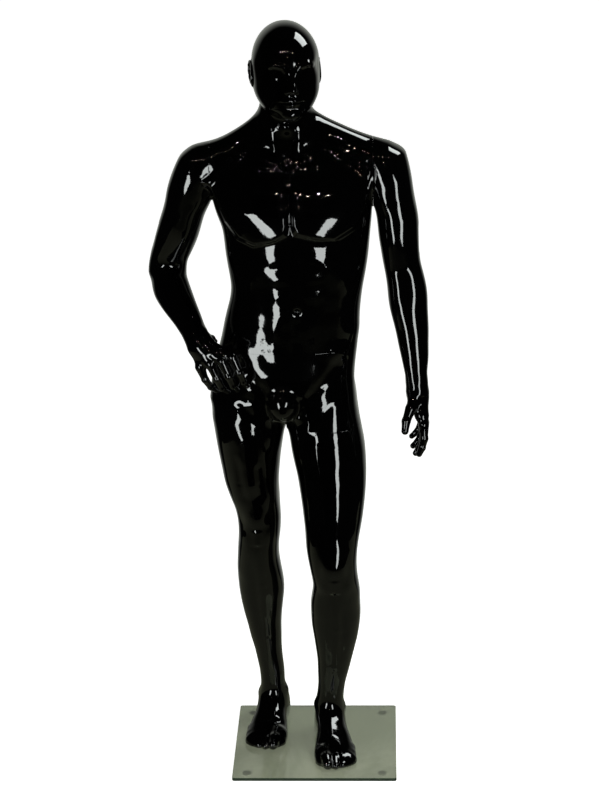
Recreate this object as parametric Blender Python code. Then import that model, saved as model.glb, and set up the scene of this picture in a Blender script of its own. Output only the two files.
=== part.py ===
"""A full body male display mannequin on a square glass base.

The figure is a thin glass-fibre shell that comes apart at five seams: waist, left thigh, both shoulders and both
wrists. Every seam but the wrists has two flat lids, a slotted steel plate on one side and a steel stud on the other.
The right leg holds a tube that drops over a steel rod bolted through the glass.

Metres, +Z up. The figure faces -Y, and its own left is +X. The origin is on the floor, under the middle of the
whole figure's width.
"""

import math

import bmesh
import bpy
from mathutils import Matrix, Vector

# Driving dimensions
GAP = 0.0003
SHELL = 0.006
LID_CLEARANCE = 0.0025
VOXEL = 0.0075
CORE_VOXEL = 0.011
HAND_VOXEL = 0.0032
FIGURE_TRIANGLES = 5600
CORE_TRIANGLES = 1000
HAND_TRIANGLES = 680
RING_SIDES = 32
ROUNDNESS = 2.25

# Seams
WAIST_Z = 1.030
THIGH_Z = 0.836
RIGHT_SHOULDER_X = -0.1765
LEFT_SHOULDER_X = 0.205
LEFT_WRIST_Z = 0.936
RIGHT_WRIST_AT = 0.210
SEAM_HALF_GAP = 0.0004
LEGS_APART_X = -0.0105
TURN_CLEARANCE = 0.003

# Glass base and the rod that the right leg stands on
PLATE_X = 0.055
PLATE_SIDE = 0.400
PLATE_THICKNESS = 0.008
PLATE_CORNER = 0.006
PAD_HEIGHT = 0.004
PAD_RADIUS = 0.011
PAD_INSET = 0.035
PLATE_TOP = PAD_HEIGHT + PLATE_THICKNESS
SOLE_Z = PLATE_TOP + GAP
ROD_AT = (-0.058, 0.124)
ROD_RADIUS = 0.006
ROD_TOP = 0.160

# Seam fittings
LID_THICKNESS = 0.004
LID_RECESS = 0.004
STEEL = 0.004
STUD_RADIUS = 0.009
STUD_REACH = 0.034
POST_SIDE = 0.024
RUNNING = 0.0006
SCREW_RADIUS = 0.0025
SCREW_HEAD = (0.0048, 0.0024)

# Ring stations of the upright lofts: level, centre x, centre y, half width, depth in front, depth behind
TORSO = (
    (0.851, -0.008, 0.085, 0.030, 0.060, 0.060),
    (0.858, -0.008, 0.085, 0.090, 0.085, 0.085),
    (0.876, -0.012, 0.085, 0.150, 0.093, 0.100),
    (0.905, -0.016, 0.085, 0.174, 0.094, 0.112),
    (0.935, -0.016, 0.085, 0.174, 0.098, 0.114),
    (0.965, -0.013, 0.085, 0.171, 0.099, 0.106),
    (0.996, -0.007, 0.085, 0.168, 0.098, 0.096),
    (1.026, -0.001, 0.085, 0.166, 0.096, 0.089),
    (1.056, 0.004, 0.084, 0.163, 0.095, 0.086),
    (1.086, 0.008, 0.082, 0.161, 0.094, 0.085),
    (1.116, 0.013, 0.080, 0.159, 0.093, 0.085),
    (1.146, 0.019, 0.079, 0.156, 0.093, 0.085),
    (1.176, 0.023, 0.078, 0.156, 0.093, 0.086),
    (1.205, 0.024, 0.078, 0.161, 0.095, 0.088),
    (1.235, 0.024, 0.078, 0.166, 0.099, 0.092),
    (1.265, 0.024, 0.078, 0.170, 0.103, 0.096),
    (1.294, 0.024, 0.078, 0.172, 0.108, 0.100),
    (1.323, 0.024, 0.078, 0.175, 0.113, 0.104),
    (1.353, 0.019, 0.078, 0.183, 0.114, 0.107),
    (1.385, 0.015, 0.079, 0.188, 0.109, 0.107),
    (1.420, 0.014, 0.081, 0.190, 0.098, 0.102),
    (1.450, 0.013, 0.085, 0.180, 0.083, 0.094),
    (1.478, 0.012, 0.089, 0.150, 0.066, 0.082),
    (1.500, 0.010, 0.090, 0.110, 0.056, 0.070),
)
NECK = (
    (1.480, 0.006, 0.090, 0.060, 0.050, 0.056),
    (1.520, 0.003, 0.086, 0.062, 0.056, 0.058),
    (1.560, 0.001, 0.080, 0.062, 0.058, 0.058),
    (1.595, 0.001, 0.074, 0.060, 0.056, 0.058),
    (1.640, 0.003, 0.066, 0.057, 0.050, 0.062),
    (1.675, 0.005, 0.056, 0.050, 0.040, 0.064),
)
# The shoulder yoke runs along X: level x, then y, z, half depth, height below, height above
YOKE = (
    (-0.215, 0.086, 1.470, 0.040, 0.040, 0.040),
    (-0.180, 0.087, 1.474, 0.044, 0.045, 0.050),
    (-0.140, 0.088, 1.480, 0.044, 0.050, 0.058),
    (-0.100, 0.089, 1.488, 0.043, 0.055, 0.076),
    (-0.060, 0.089, 1.500, 0.046, 0.060, 0.088),
    (0.012, 0.089, 1.505, 0.050, 0.060, 0.085),
    (0.075, 0.089, 1.500, 0.046, 0.060, 0.090),
    (0.115, 0.089, 1.488, 0.043, 0.055, 0.083),
    (0.160, 0.088, 1.480, 0.044, 0.050, 0.070),
    (0.205, 0.087, 1.474, 0.044, 0.045, 0.060),
    (0.240, 0.086, 1.470, 0.040, 0.040, 0.046),
)
RIGHT_LEG = (
    (0.940, -0.094, 0.085, 0.050, 0.060, 0.060),
    (0.900, -0.102, 0.085, 0.084, 0.085, 0.100),
    (0.850, -0.103, 0.085, 0.085, 0.091, 0.102),
    (0.812, -0.098, 0.083, 0.084, 0.092, 0.096),
    (0.780, -0.098, 0.081, 0.079, 0.090, 0.091),
    (0.748, -0.097, 0.079, 0.073, 0.087, 0.086),
    (0.716, -0.095, 0.077, 0.068, 0.083, 0.081),
    (0.684, -0.094, 0.075, 0.064, 0.079, 0.077),
    (0.652, -0.088, 0.073, 0.060, 0.075, 0.073),
    (0.620, -0.082, 0.071, 0.055, 0.070, 0.068),
    (0.587, -0.078, 0.070, 0.053, 0.066, 0.062),
    (0.554, -0.078, 0.069, 0.051, 0.064, 0.057),
    (0.522, -0.082, 0.069, 0.050, 0.064, 0.055),
    (0.489, -0.083, 0.071, 0.051, 0.058, 0.058),
    (0.456, -0.082, 0.077, 0.054, 0.056, 0.064),
    (0.422, -0.079, 0.084, 0.056, 0.054, 0.068),
    (0.389, -0.077, 0.091, 0.056, 0.053, 0.068),
    (0.356, -0.077, 0.097, 0.052, 0.051, 0.063),
    (0.322, -0.076, 0.102, 0.047, 0.048, 0.056),
    (0.288, -0.073, 0.107, 0.042, 0.045, 0.050),
    (0.254, -0.070, 0.112, 0.039, 0.042, 0.045),
    (0.220, -0.066, 0.116, 0.034, 0.039, 0.042),
    (0.186, -0.062, 0.120, 0.032, 0.037, 0.041),
    (0.152, -0.057, 0.123, 0.031, 0.037, 0.042),
    (0.118, -0.056, 0.126, 0.030, 0.040, 0.044),
    (0.085, -0.054, 0.130, 0.033, 0.048, 0.050),
    (0.055, -0.054, 0.133, 0.032, 0.050, 0.050),
    (0.030, -0.054, 0.135, 0.030, 0.050, 0.045),
)
LEFT_LEG = (
    (0.940, 0.076, 0.085, 0.050, 0.060, 0.060),
    (0.900, 0.077, 0.082, 0.078, 0.083, 0.100),
    (0.866, 0.082, 0.078, 0.084, 0.088, 0.102),
    (0.819, 0.086, 0.071, 0.089, 0.092, 0.098),
    (0.790, 0.091, 0.065, 0.090, 0.092, 0.095),
    (0.762, 0.094, 0.058, 0.089, 0.091, 0.092),
    (0.733, 0.098, 0.051, 0.086, 0.090, 0.090),
    (0.705, 0.101, 0.043, 0.082, 0.088, 0.087),
    (0.676, 0.102, 0.035, 0.079, 0.085, 0.084),
    (0.647, 0.103, 0.026, 0.075, 0.082, 0.080),
    (0.619, 0.103, 0.017, 0.072, 0.078, 0.076),
    (0.590, 0.103, 0.008, 0.068, 0.074, 0.072),
    (0.562, 0.101, 0.000, 0.064, 0.070, 0.068),
    (0.533, 0.100, -0.008, 0.061, 0.068, 0.063),
    (0.504, 0.102, -0.014, 0.058, 0.067, 0.060),
    (0.475, 0.105, -0.014, 0.056, 0.062, 0.058),
    (0.446, 0.110, -0.010, 0.055, 0.057, 0.062),
    (0.425, 0.110, -0.006, 0.058, 0.056, 0.066),
    (0.396, 0.107, 0.000, 0.060, 0.055, 0.070),
    (0.362, 0.108, 0.006, 0.061, 0.053, 0.072),
    (0.329, 0.107, 0.011, 0.059, 0.051, 0.068),
    (0.295, 0.107, 0.016, 0.054, 0.049, 0.060),
    (0.261, 0.105, 0.021, 0.048, 0.046, 0.053),
    (0.227, 0.103, 0.025, 0.042, 0.043, 0.047),
    (0.193, 0.099, 0.029, 0.038, 0.040, 0.043),
    (0.159, 0.095, 0.033, 0.033, 0.039, 0.042),
    (0.125, 0.091, 0.036, 0.033, 0.041, 0.044),
    (0.095, 0.088, 0.038, 0.035, 0.047, 0.048),
    (0.060, 0.088, 0.040, 0.033, 0.050, 0.045),
    (0.030, 0.088, 0.040, 0.031, 0.050, 0.040),
)
LEFT_ARM = (
    (1.519, 0.226, 0.085, 0.018, 0.018, 0.018),
    (1.511, 0.230, 0.085, 0.040, 0.036, 0.038),
    (1.494, 0.234, 0.085, 0.049, 0.049, 0.052),
    (1.469, 0.238, 0.084, 0.052, 0.057, 0.060),
    (1.439, 0.243, 0.083, 0.053, 0.060, 0.063),
    (1.411, 0.247, 0.082, 0.052, 0.060, 0.063),
    (1.382, 0.253, 0.081, 0.051, 0.058, 0.061),
    (1.354, 0.261, 0.081, 0.049, 0.055, 0.058),
    (1.325, 0.264, 0.080, 0.049, 0.053, 0.055),
    (1.296, 0.265, 0.080, 0.048, 0.052, 0.054),
    (1.268, 0.268, 0.079, 0.046, 0.050, 0.051),
    (1.239, 0.270, 0.078, 0.044, 0.047, 0.048),
    (1.210, 0.277, 0.077, 0.045, 0.044, 0.045),
    (1.181, 0.283, 0.074, 0.046, 0.044, 0.043),
    (1.152, 0.286, 0.070, 0.047, 0.044, 0.042),
    (1.123, 0.288, 0.066, 0.045, 0.042, 0.040),
    (1.093, 0.293, 0.062, 0.042, 0.040, 0.037),
    (1.064, 0.297, 0.058, 0.039, 0.037, 0.034),
    (1.035, 0.299, 0.053, 0.036, 0.034, 0.031),
    (1.005, 0.303, 0.048, 0.033, 0.031, 0.029),
    (0.976, 0.304, 0.043, 0.028, 0.030, 0.028),
    (0.946, 0.307, 0.038, 0.024, 0.029, 0.028),
    (0.925, 0.308, 0.035, 0.023, 0.029, 0.028),
)
RIGHT_UPPER_ARM = (
    (1.512, -0.196, 0.085, 0.015, 0.018, 0.018),
    (1.504, -0.201, 0.085, 0.033, 0.035, 0.037),
    (1.488, -0.207, 0.086, 0.043, 0.048, 0.051),
    (1.469, -0.212, 0.087, 0.049, 0.056, 0.059),
    (1.440, -0.218, 0.090, 0.055, 0.060, 0.061),
    (1.410, -0.226, 0.093, 0.056, 0.060, 0.060),
    (1.379, -0.232, 0.098, 0.055, 0.058, 0.060),
    (1.348, -0.246, 0.105, 0.051, 0.055, 0.056),
    (1.317, -0.256, 0.113, 0.052, 0.053, 0.053),
    (1.286, -0.265, 0.121, 0.052, 0.051, 0.050),
    (1.255, -0.276, 0.130, 0.050, 0.048, 0.046),
    (1.224, -0.288, 0.140, 0.046, 0.044, 0.041),
    (1.200, -0.292, 0.146, 0.042, 0.042, 0.038),
    (1.176, -0.288, 0.148, 0.030, 0.032, 0.029),
)
ELBOW = Vector((-0.292, 0.145, 1.198))
WRIST = Vector((-0.207, -0.010, 1.060))
FOREARM = (
    (0.000, 0.000, 0.0, 0.040, 0.040, 0.040),
    (0.030, 0.006, 0.0, 0.043, 0.041, 0.042),
    (0.060, 0.010, 0.0, 0.043, 0.041, 0.042),
    (0.090, 0.009, 0.0, 0.041, 0.038, 0.039),
    (0.120, 0.007, 0.0, 0.037, 0.035, 0.035),
    (0.150, 0.003, 0.0, 0.033, 0.031, 0.031),
    (0.180, 0.002, 0.0, 0.030, 0.028, 0.028),
    (0.205, 0.001, 0.0, 0.028, 0.026, 0.026),
    (0.228, 0.000, 0.0, 0.027, 0.025, 0.025),
)
# The head, in its own frame about its middle
HEAD_AT = Vector((0.0055, 0.045, 1.7115))
HEAD_TURN = math.radians(11)
HEAD = (
    (0.102, 0.0, 0.000, 0.014, 0.018, 0.018),
    (0.095, 0.0, 0.000, 0.035, 0.044, 0.042),
    (0.082, 0.0, 0.000, 0.052, 0.066, 0.066),
    (0.065, 0.0, 0.000, 0.063, 0.079, 0.081),
    (0.046, 0.0, 0.000, 0.071, 0.088, 0.092),
    (0.027, 0.0, 0.000, 0.076, 0.092, 0.098),
    (0.008, 0.0, 0.000, 0.078, 0.093, 0.099),
    (-0.012, 0.0, 0.000, 0.078, 0.092, 0.096),
    (-0.032, 0.0, 0.000, 0.076, 0.091, 0.088),
    (-0.052, 0.0, -0.004, 0.072, 0.086, 0.074),
    (-0.070, 0.0, -0.010, 0.066, 0.079, 0.056),
    (-0.086, 0.0, -0.016, 0.056, 0.070, 0.040),
    (-0.100, 0.0, -0.026, 0.040, 0.056, 0.028),
    (-0.109, 0.0, -0.038, 0.022, 0.038, 0.018),
)
# A foot runs from heel to toe, lying on its sole: level, across, up, half width, depth of the sole, height
FOOT_BASE = 0.004
FOOT = (
    (0.000, 0.0, FOOT_BASE, 0.010, 0.002, 0.012),
    (0.006, 0.0, FOOT_BASE, 0.023, 0.004, 0.028),
    (0.020, 0.0, FOOT_BASE, 0.032, 0.004, 0.055),
    (0.045, 0.0, FOOT_BASE, 0.035, 0.004, 0.080),
    (0.075, 0.0, FOOT_BASE, 0.036, 0.004, 0.084),
    (0.108, 0.0, FOOT_BASE, 0.040, 0.004, 0.074),
    (0.140, 0.0, FOOT_BASE, 0.046, 0.004, 0.059),
    (0.170, 0.0, FOOT_BASE, 0.050, 0.004, 0.045),
    (0.196, 0.0, FOOT_BASE, 0.051, 0.004, 0.035),
    (0.217, 0.0, FOOT_BASE, 0.051, 0.004, 0.028),
    (0.238, 0.0, FOOT_BASE, 0.048, 0.004, 0.023),
    (0.259, 0.0, FOOT_BASE, 0.040, 0.004, 0.019),
    (0.273, 0.0, FOOT_BASE, 0.024, 0.003, 0.012),
)
FOOT_CORE_FROM = 1
FOOT_CORE_TO = 8
RIGHT_FOOT = (Vector((-0.048, 0.201, SOLE_Z)), math.radians(-6.0))
LEFT_FOOT = (Vector((0.0845, 0.095, SOLE_Z)), math.radians(6.0))

# Rounded masses laid on the lofts: centre, half sizes, turn about X, turn about Z (degrees)
MASSES = (
    ((-0.068, 0.014, 1.385), (0.096, 0.046, 0.072), 8, 10),
    ((0.096, 0.014, 1.385), (0.096, 0.046, 0.072), 8, -10),
    ((-0.096, 0.140, 0.905), (0.082, 0.066, 0.080), 0, 0),
    ((0.070, 0.138, 0.905), (0.082, 0.066, 0.080), 0, 0),
    ((-0.010, 0.014, 0.904), (0.038, 0.036, 0.044), -12, 0),
    ((-0.075, 0.140, 1.400), (0.085, 0.040, 0.095), 0, 0),
    ((0.100, 0.140, 1.400), (0.085, 0.040, 0.095), 0, 0),
)
# Nose, brow, chin and ears, in the head's frame
FACE = (
    ((0.000, -0.096, -0.038), (0.015, 0.018, 0.014), 0, 0),
    ((0.000, -0.088, -0.014), (0.011, 0.014, 0.034), -12, 0),
    ((0.000, -0.078, 0.012), (0.058, 0.018, 0.012), 0, 0),
    ((0.000, -0.076, -0.096), (0.024, 0.018, 0.015), 0, 0),
    ((-0.079, 0.008, -0.014), (0.009, 0.018, 0.031), -8, -12),
    ((0.079, 0.008, -0.014), (0.009, 0.018, 0.031), -8, 12),
)

# Hands: a palm loft, then each digit as a chain of points with its radii
RIGHT_PALM = (
    ((-0.2140, 0.002, 1.072), 0.0250),
    ((-0.2030, -0.014, 1.052), 0.0255),
    ((-0.1700, -0.030, 1.040), 0.0190),
    ((-0.1900, -0.026, 1.026), 0.0195),
)
RIGHT_DIGITS = (
    (((-0.190, -0.014, 1.052), 0.0190), ((-0.129, -0.041, 1.036), 0.0120), ((-0.113, -0.045, 0.998), 0.0095),
     ((-0.104, -0.034, 0.972), 0.0085), ((-0.097, -0.020, 0.957), 0.0075)),
    (((-0.194, -0.014, 1.050), 0.0190), ((-0.153, -0.045, 1.028), 0.0120), ((-0.138, -0.049, 0.990), 0.0095),
     ((-0.128, -0.038, 0.963), 0.0085), ((-0.120, -0.022, 0.948), 0.0075)),
    (((-0.199, -0.012, 1.048), 0.0190), ((-0.180, -0.040, 1.018), 0.0118), ((-0.166, -0.042, 0.982), 0.0092),
     ((-0.155, -0.030, 0.955), 0.0083), ((-0.144, -0.013, 0.941), 0.0073)),
    (((-0.207, -0.008, 1.048), 0.0190), ((-0.206, -0.030, 1.008), 0.0115), ((-0.195, -0.028, 0.976), 0.0088),
     ((-0.183, -0.016, 0.953), 0.0078), ((-0.170, 0.000, 0.939), 0.0068)),
    (((-0.204, -0.004, 1.062), 0.0210), ((-0.184, 0.016, 1.060), 0.0135), ((-0.179, 0.040, 1.050), 0.0105),
     ((-0.182, 0.060, 1.040), 0.0090)),
)
LEFT_PALM = (
    ((0.3070, 0.034, 0.945), 0.0230),
    ((0.3090, 0.033, 0.915), 0.0215),
    ((0.3180, 0.052, 0.872), 0.0150),
    ((0.3180, 0.008, 0.872), 0.0160),
)
LEFT_DIGITS = (
    (((0.311, 0.026, 0.905), 0.0185), ((0.323, -0.004, 0.852), 0.0120), ((0.324, -0.010, 0.818), 0.0095),
     ((0.319, -0.012, 0.796), 0.0085), ((0.312, -0.012, 0.780), 0.0075)),
    (((0.311, 0.030, 0.905), 0.0185), ((0.324, 0.018, 0.850), 0.0120), ((0.323, 0.014, 0.812), 0.0095),
     ((0.315, 0.012, 0.789), 0.0085), ((0.304, 0.011, 0.774), 0.0075)),
    (((0.311, 0.036, 0.905), 0.0180), ((0.323, 0.040, 0.851), 0.0115), ((0.320, 0.038, 0.815), 0.0092),
     ((0.310, 0.036, 0.795), 0.0083), ((0.298, 0.034, 0.784), 0.0073)),
    (((0.310, 0.044, 0.905), 0.0170), ((0.320, 0.060, 0.855), 0.0105), ((0.316, 0.060, 0.826), 0.0086),
     ((0.306, 0.058, 0.810), 0.0077), ((0.295, 0.056, 0.801), 0.0068)),
    (((0.307, 0.024, 0.920), 0.0180), ((0.292, -0.004, 0.892), 0.0130), ((0.281, -0.018, 0.866), 0.0105),
     ((0.278, -0.026, 0.843), 0.0088)),
)

GLOSS_BLACK = ("gloss_black", (0.006, 0.006, 0.007, 1.0), 0.06, 0.0)
LAMINATE = ("laminate", (0.045, 0.045, 0.045, 1.0), 0.60, 0.0)
ZINC_STEEL = ("zinc_steel", (0.62, 0.62, 0.60, 1.0), 0.32, 1.0)
GLASS = ("base_glass", (0.55, 0.66, 0.60, 1.0), 0.04, 0.0)
RUBBER = ("clear_rubber", (0.50, 0.52, 0.50, 1.0), 0.55, 0.0)

BODIES = {
    "stand": Vector((PLATE_X, 0.0, 0.0)),
    "lower_body": Vector((ROD_AT[0], ROD_AT[1], SOLE_Z)),
    "left_leg": Vector((0.083, 0.075, THIGH_Z)),
    "upper_body": Vector((0.003, 0.085, WAIST_Z)),
    "right_arm": Vector((RIGHT_SHOULDER_X, 0.088, 1.432)),
    "left_arm": Vector((LEFT_SHOULDER_X, 0.085, 1.432)),
    "right_hand": ELBOW + (WRIST - ELBOW).normalized() * RIGHT_WRIST_AT,
    "left_hand": Vector((0.3065, 0.036, LEFT_WRIST_Z)),
}


def clear_scene():
    for obj in list(bpy.data.objects):
        bpy.data.objects.remove(obj, do_unlink=True)


def make_material(name, colour, roughness, metallic):
    material = bpy.data.materials.new(name)
    material.use_nodes = True
    shader = material.node_tree.nodes["Principled BSDF"]
    shader.inputs["Base Color"].default_value = colour
    shader.inputs["Roughness"].default_value = roughness
    shader.inputs["Metallic"].default_value = metallic
    return material


def new_object(name, bm):
    """A mesh object holding bm, which is freed."""
    bmesh.ops.recalc_face_normals(bm, faces=bm.faces)
    mesh = bpy.data.meshes.new(name)
    bm.to_mesh(mesh)
    bm.free()
    obj = bpy.data.objects.new(name, mesh)
    bpy.context.scene.collection.objects.link(obj)
    return obj


def finish_part(obj, body, look):
    """Gives a part its own material, smooth shading, and the empty on its body's joint axis as parent."""
    label, colour, roughness, metallic = look
    obj.data.materials.clear()
    obj.data.materials.append(make_material(f"{obj.name}_{label}", colour, roughness, metallic))
    obj.data.shade_smooth()
    obj.data.set_sharp_from_angle(angle=math.radians(35))
    obj.parent = AXES[body]
    obj.matrix_parent_inverse = Matrix.Translation(-BODIES[body])
    return obj


def helper(obj):
    obj.hide_render = True
    obj.display_type = "WIRE"
    return obj


def evaluated_mesh(obj):
    """The mesh of obj with its modifiers applied."""
    graph = bpy.context.evaluated_depsgraph_get()
    return bpy.data.meshes.new_from_object(obj.evaluated_get(graph))


def triangle_count(mesh):
    mesh.calc_loop_triangles()
    return len(mesh.loop_triangles)


def along(origin, direction, across):
    """The frame whose Z is direction, whose X is as near across as it can be, and whose origin is origin."""
    z = Vector(direction).normalized()
    y = z.cross(Vector(across)).normalized()
    x = y.cross(z)
    frame = Matrix((x, y, z)).transposed().to_4x4()
    frame.translation = origin
    return frame


def signed_power(value, power):
    return math.copysign(abs(value) ** power, value)


def ring_points(station, inset):
    """One cross-section: a rounded oval with its own depth in front and behind."""
    level, x, y, half, front, back = station
    points = []
    for i in range(RING_SIDES):
        angle = math.tau * i / RING_SIDES
        side = signed_power(math.cos(angle), 2 / ROUNDNESS)
        depth = signed_power(math.sin(angle), 2 / ROUNDNESS)
        reach = back if depth > 0 else front
        across = side * max(half - inset, 0.003)
        along_y = depth * max(reach - inset, 0.002)
        points.append(Vector((x + across, y + along_y, level)))
    return points


def add_loft(bm, stations, frame=None, inset=0.0):
    """A closed skin through the stations' rings."""
    frame = frame or Matrix.Identity(4)
    rings = [[bm.verts.new(frame @ p) for p in ring_points(s, inset)] for s in stations]
    for lower, upper in zip(rings, rings[1:]):
        for i in range(RING_SIDES):
            j = (i + 1) % RING_SIDES
            bm.faces.new((lower[i], lower[j], upper[j], upper[i]))
    bm.faces.new(rings[0])
    bm.faces.new(rings[-1])


def add_masses(bm, masses, frame=None, inset=0.0):
    frame = frame or Matrix.Identity(4)
    for centre, half, tilt, turn in masses:
        place = frame @ Matrix.Translation(centre) @ Matrix.Rotation(math.radians(turn), 4, "Z")
        place = place @ Matrix.Rotation(math.radians(tilt), 4, "X")
        size = Matrix.Diagonal((*(max(h - inset, 0.003) for h in half), 1.0))
        bmesh.ops.create_icosphere(bm, subdivisions=3, radius=1.0, matrix=place @ size)


def add_chain(bm, chain):
    """Tapered rods with a ball at each joint: one digit of a hand."""
    for point, radius in chain:
        bmesh.ops.create_icosphere(bm, subdivisions=3, radius=radius, matrix=Matrix.Translation(point))
    for (start, r1), (end, r2) in zip(chain, chain[1:]):
        line = Vector(end) - Vector(start)
        frame = along((Vector(start) + Vector(end)) / 2, line, (0.31, 0.90, 0.23))
        bmesh.ops.create_cone(
            bm, cap_ends=True, segments=20, radius1=r1, radius2=r2, depth=line.length, matrix=frame
        )


def yoke_frame():
    """Sends a station's level to world X, its half width to Y and its depths to Z."""
    return Matrix(((0, 0, 1, 0), (1, 0, 0, 0), (0, 1, 0, 0), (0, 0, 0, 1)))


def foot_frame(foot):
    """Sends a station's level to the way the toes point and its depths upwards."""
    heel, turn = foot
    toes = Vector((math.sin(turn), -math.cos(turn), 0))
    return along(heel, toes, toes.cross(Vector((0, 0, -1))))


def forearm_frame():
    line = WRIST - ELBOW
    return along(ELBOW, line, line.cross(Vector((0, 0, 1))))


def head_frame():
    return Matrix.Translation(HEAD_AT) @ Matrix.Rotation(HEAD_TURN, 4, "Z")


def figure_forms(inset=0.0):
    """All of the body but the hands, as overlapping closed forms. An inset makes the hollow inside the shell."""
    bm = bmesh.new()
    for stations in (TORSO, NECK, RIGHT_LEG, LEFT_LEG, RIGHT_UPPER_ARM):
        add_loft(bm, stations, inset=inset)
    add_loft(bm, YOKE, yoke_frame(), inset)
    add_loft(bm, HEAD, head_frame(), inset)
    if inset:
        add_loft(bm, LEFT_ARM[:-2], inset=inset)
        add_loft(bm, FOREARM[:-1], forearm_frame(), inset)
        feet = FOOT[FOOT_CORE_FROM:FOOT_CORE_TO]
    else:
        add_loft(bm, LEFT_ARM, inset=inset)
        add_loft(bm, FOREARM, forearm_frame(), inset)
        add_masses(bm, MASSES)
        add_masses(bm, FACE, head_frame())
        feet = FOOT
    for foot in (RIGHT_FOOT, LEFT_FOOT):
        frame = foot_frame(foot)
        add_loft(bm, feet, Matrix.Translation((0, 0, inset)) @ frame, inset)
    return bm


def merged_skin(name, bm, voxel, triangles, smoothing=10):
    """One closed skin round the forms in bm: voxels merge them, then they are smoothed and thinned out."""
    obj = helper(new_object(name, bm))
    remesh = obj.modifiers.new("merge", "REMESH")
    remesh.mode = "VOXEL"
    remesh.voxel_size = voxel
    smooth = obj.modifiers.new("smooth", "SMOOTH")
    smooth.factor = 0.5
    smooth.iterations = smoothing
    obj.data = evaluated_mesh(obj)
    obj.modifiers.clear()
    thin = obj.modifiers.new("thin", "DECIMATE")
    thin.ratio = min(1.0, triangles / triangle_count(obj.data))
    obj.data = evaluated_mesh(obj)
    obj.modifiers.clear()
    return obj


def sliced(name, source, planes):
    """A copy of source with everything on the far side of each (point, normal) cut away and closed flat."""
    bm = bmesh.new()
    bm.from_mesh(source.data)
    for point, normal in planes:
        cut = bmesh.ops.bisect_plane(
            bm,
            geom=bm.verts[:] + bm.edges[:] + bm.faces[:],
            plane_co=point,
            plane_no=normal,
            clear_outer=True,
        )
        rim = [e for e in cut["geom_cut"] if isinstance(e, bmesh.types.BMEdge)]
        bmesh.ops.edgeloop_fill(bm, edges=rim)
    bmesh.ops.triangulate(bm, faces=bm.faces)
    return new_object(name, bm)


def combine(obj, other, operation):
    modifier = obj.modifiers.new(operation.lower(), "BOOLEAN")
    modifier.operation = operation
    modifier.solver = "MANIFOLD"
    modifier.object = other


def box_object(name, low, high, frame=None):
    bm = bmesh.new()
    low, high = Vector(low), Vector(high)
    size = Matrix.Diagonal((*(high - low), 1.0))
    place = (frame or Matrix.Identity(4)) @ Matrix.Translation((low + high) / 2)
    bmesh.ops.create_cube(bm, size=1.0, matrix=place @ size)
    return new_object(name, bm)


def turned(name, profile, frame, sides):
    """A solid of revolution about the frame's Z, from (radius, height) points. A radius of 0 is one point."""
    bm = bmesh.new()
    rings = []
    turn = [math.tau * i / sides for i in range(sides)]
    for radius, height in profile:
        if radius == 0:
            rings.append([bm.verts.new(frame @ Vector((0, 0, height)))])
            continue
        circle = [Vector((radius * math.cos(angle), radius * math.sin(angle), height)) for angle in turn]
        rings.append([bm.verts.new(frame @ point) for point in circle])
    for lower, upper in zip(rings, rings[1:]):
        for i in range(sides):
            j = (i + 1) % sides
            below = [lower[i % len(lower)], lower[j % len(lower)]]
            above = [upper[j % len(upper)], upper[i % len(upper)]]
            bm.faces.new(dict.fromkeys(below + above))
    if len(rings[0]) > 1:
        bm.faces.new(rings[0])
    if len(rings[-1]) > 1:
        bm.faces.new(rings[-1])
    return new_object(name, bm)


def rod_between(name, radius, low, high, frame, sides=20):
    return turned(name, ((radius, low), (radius, high)), frame, sides)


def tube(name, outer, inner, low, high, frame, sides=20):
    """A pipe, made as a ring of four edges swept round the axis."""
    bm = bmesh.new()
    corners = ((outer, low), (outer, high), (inner, high), (inner, low))
    rings = []
    for i in range(sides):
        angle = math.tau * i / sides
        across, deep = math.cos(angle), math.sin(angle)
        square = [Vector((radius * across, radius * deep, height)) for radius, height in corners]
        rings.append([bm.verts.new(frame @ point) for point in square])
    for i in range(sides):
        here, following = rings[i], rings[(i + 1) % sides]
        for k in range(4):
            n = (k + 1) % 4
            bm.faces.new((here[k], here[n], following[n], following[k]))
    return new_object(name, bm)


def make_base():
    """The glass square on its four rubber pads, with the hole for the rod."""
    half = PLATE_SIDE / 2
    plate = box_object("glass_base", (PLATE_X - half, -half, PAD_HEIGHT), (PLATE_X + half, half, PLATE_TOP))
    corners = plate.modifiers.new("corners", "BEVEL")
    corners.affect = "EDGES"
    corners.limit_method = "WEIGHT"
    corners.width = PLATE_CORNER
    corners.segments = 4
    weights = plate.data.attributes.new("bevel_weight_edge", "FLOAT", "EDGE")
    for edge in plate.data.edges:
        ends = [plate.data.vertices[v].co for v in edge.vertices]
        upright = abs(ends[0].z - ends[1].z) > PLATE_THICKNESS / 2
        weights.data[edge.index].value = 1.0 if upright else 0.0
    at_rod = Matrix.Translation((*ROD_AT, 0))
    hole = helper(rod_between("cut_glass_hole", 0.0054, 0.0, 0.03, at_rod))
    combine(plate, hole, "DIFFERENCE")
    finish_part(plate, "stand", GLASS)
    reach = half - PAD_INSET
    spots = ((-reach, -reach), (reach, -reach), (reach, reach), (-reach, reach))
    for number, (x, y) in enumerate(spots, 1):
        place = Matrix.Translation((PLATE_X + x, y, 0))
        profile = ((PAD_RADIUS - 0.002, 0), (PAD_RADIUS, 0.002), (PAD_RADIUS, PAD_HEIGHT - GAP))
        pad = turned(f"base_pad_{number}", profile, place, 16)
        finish_part(pad, "stand", RUBBER)


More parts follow.
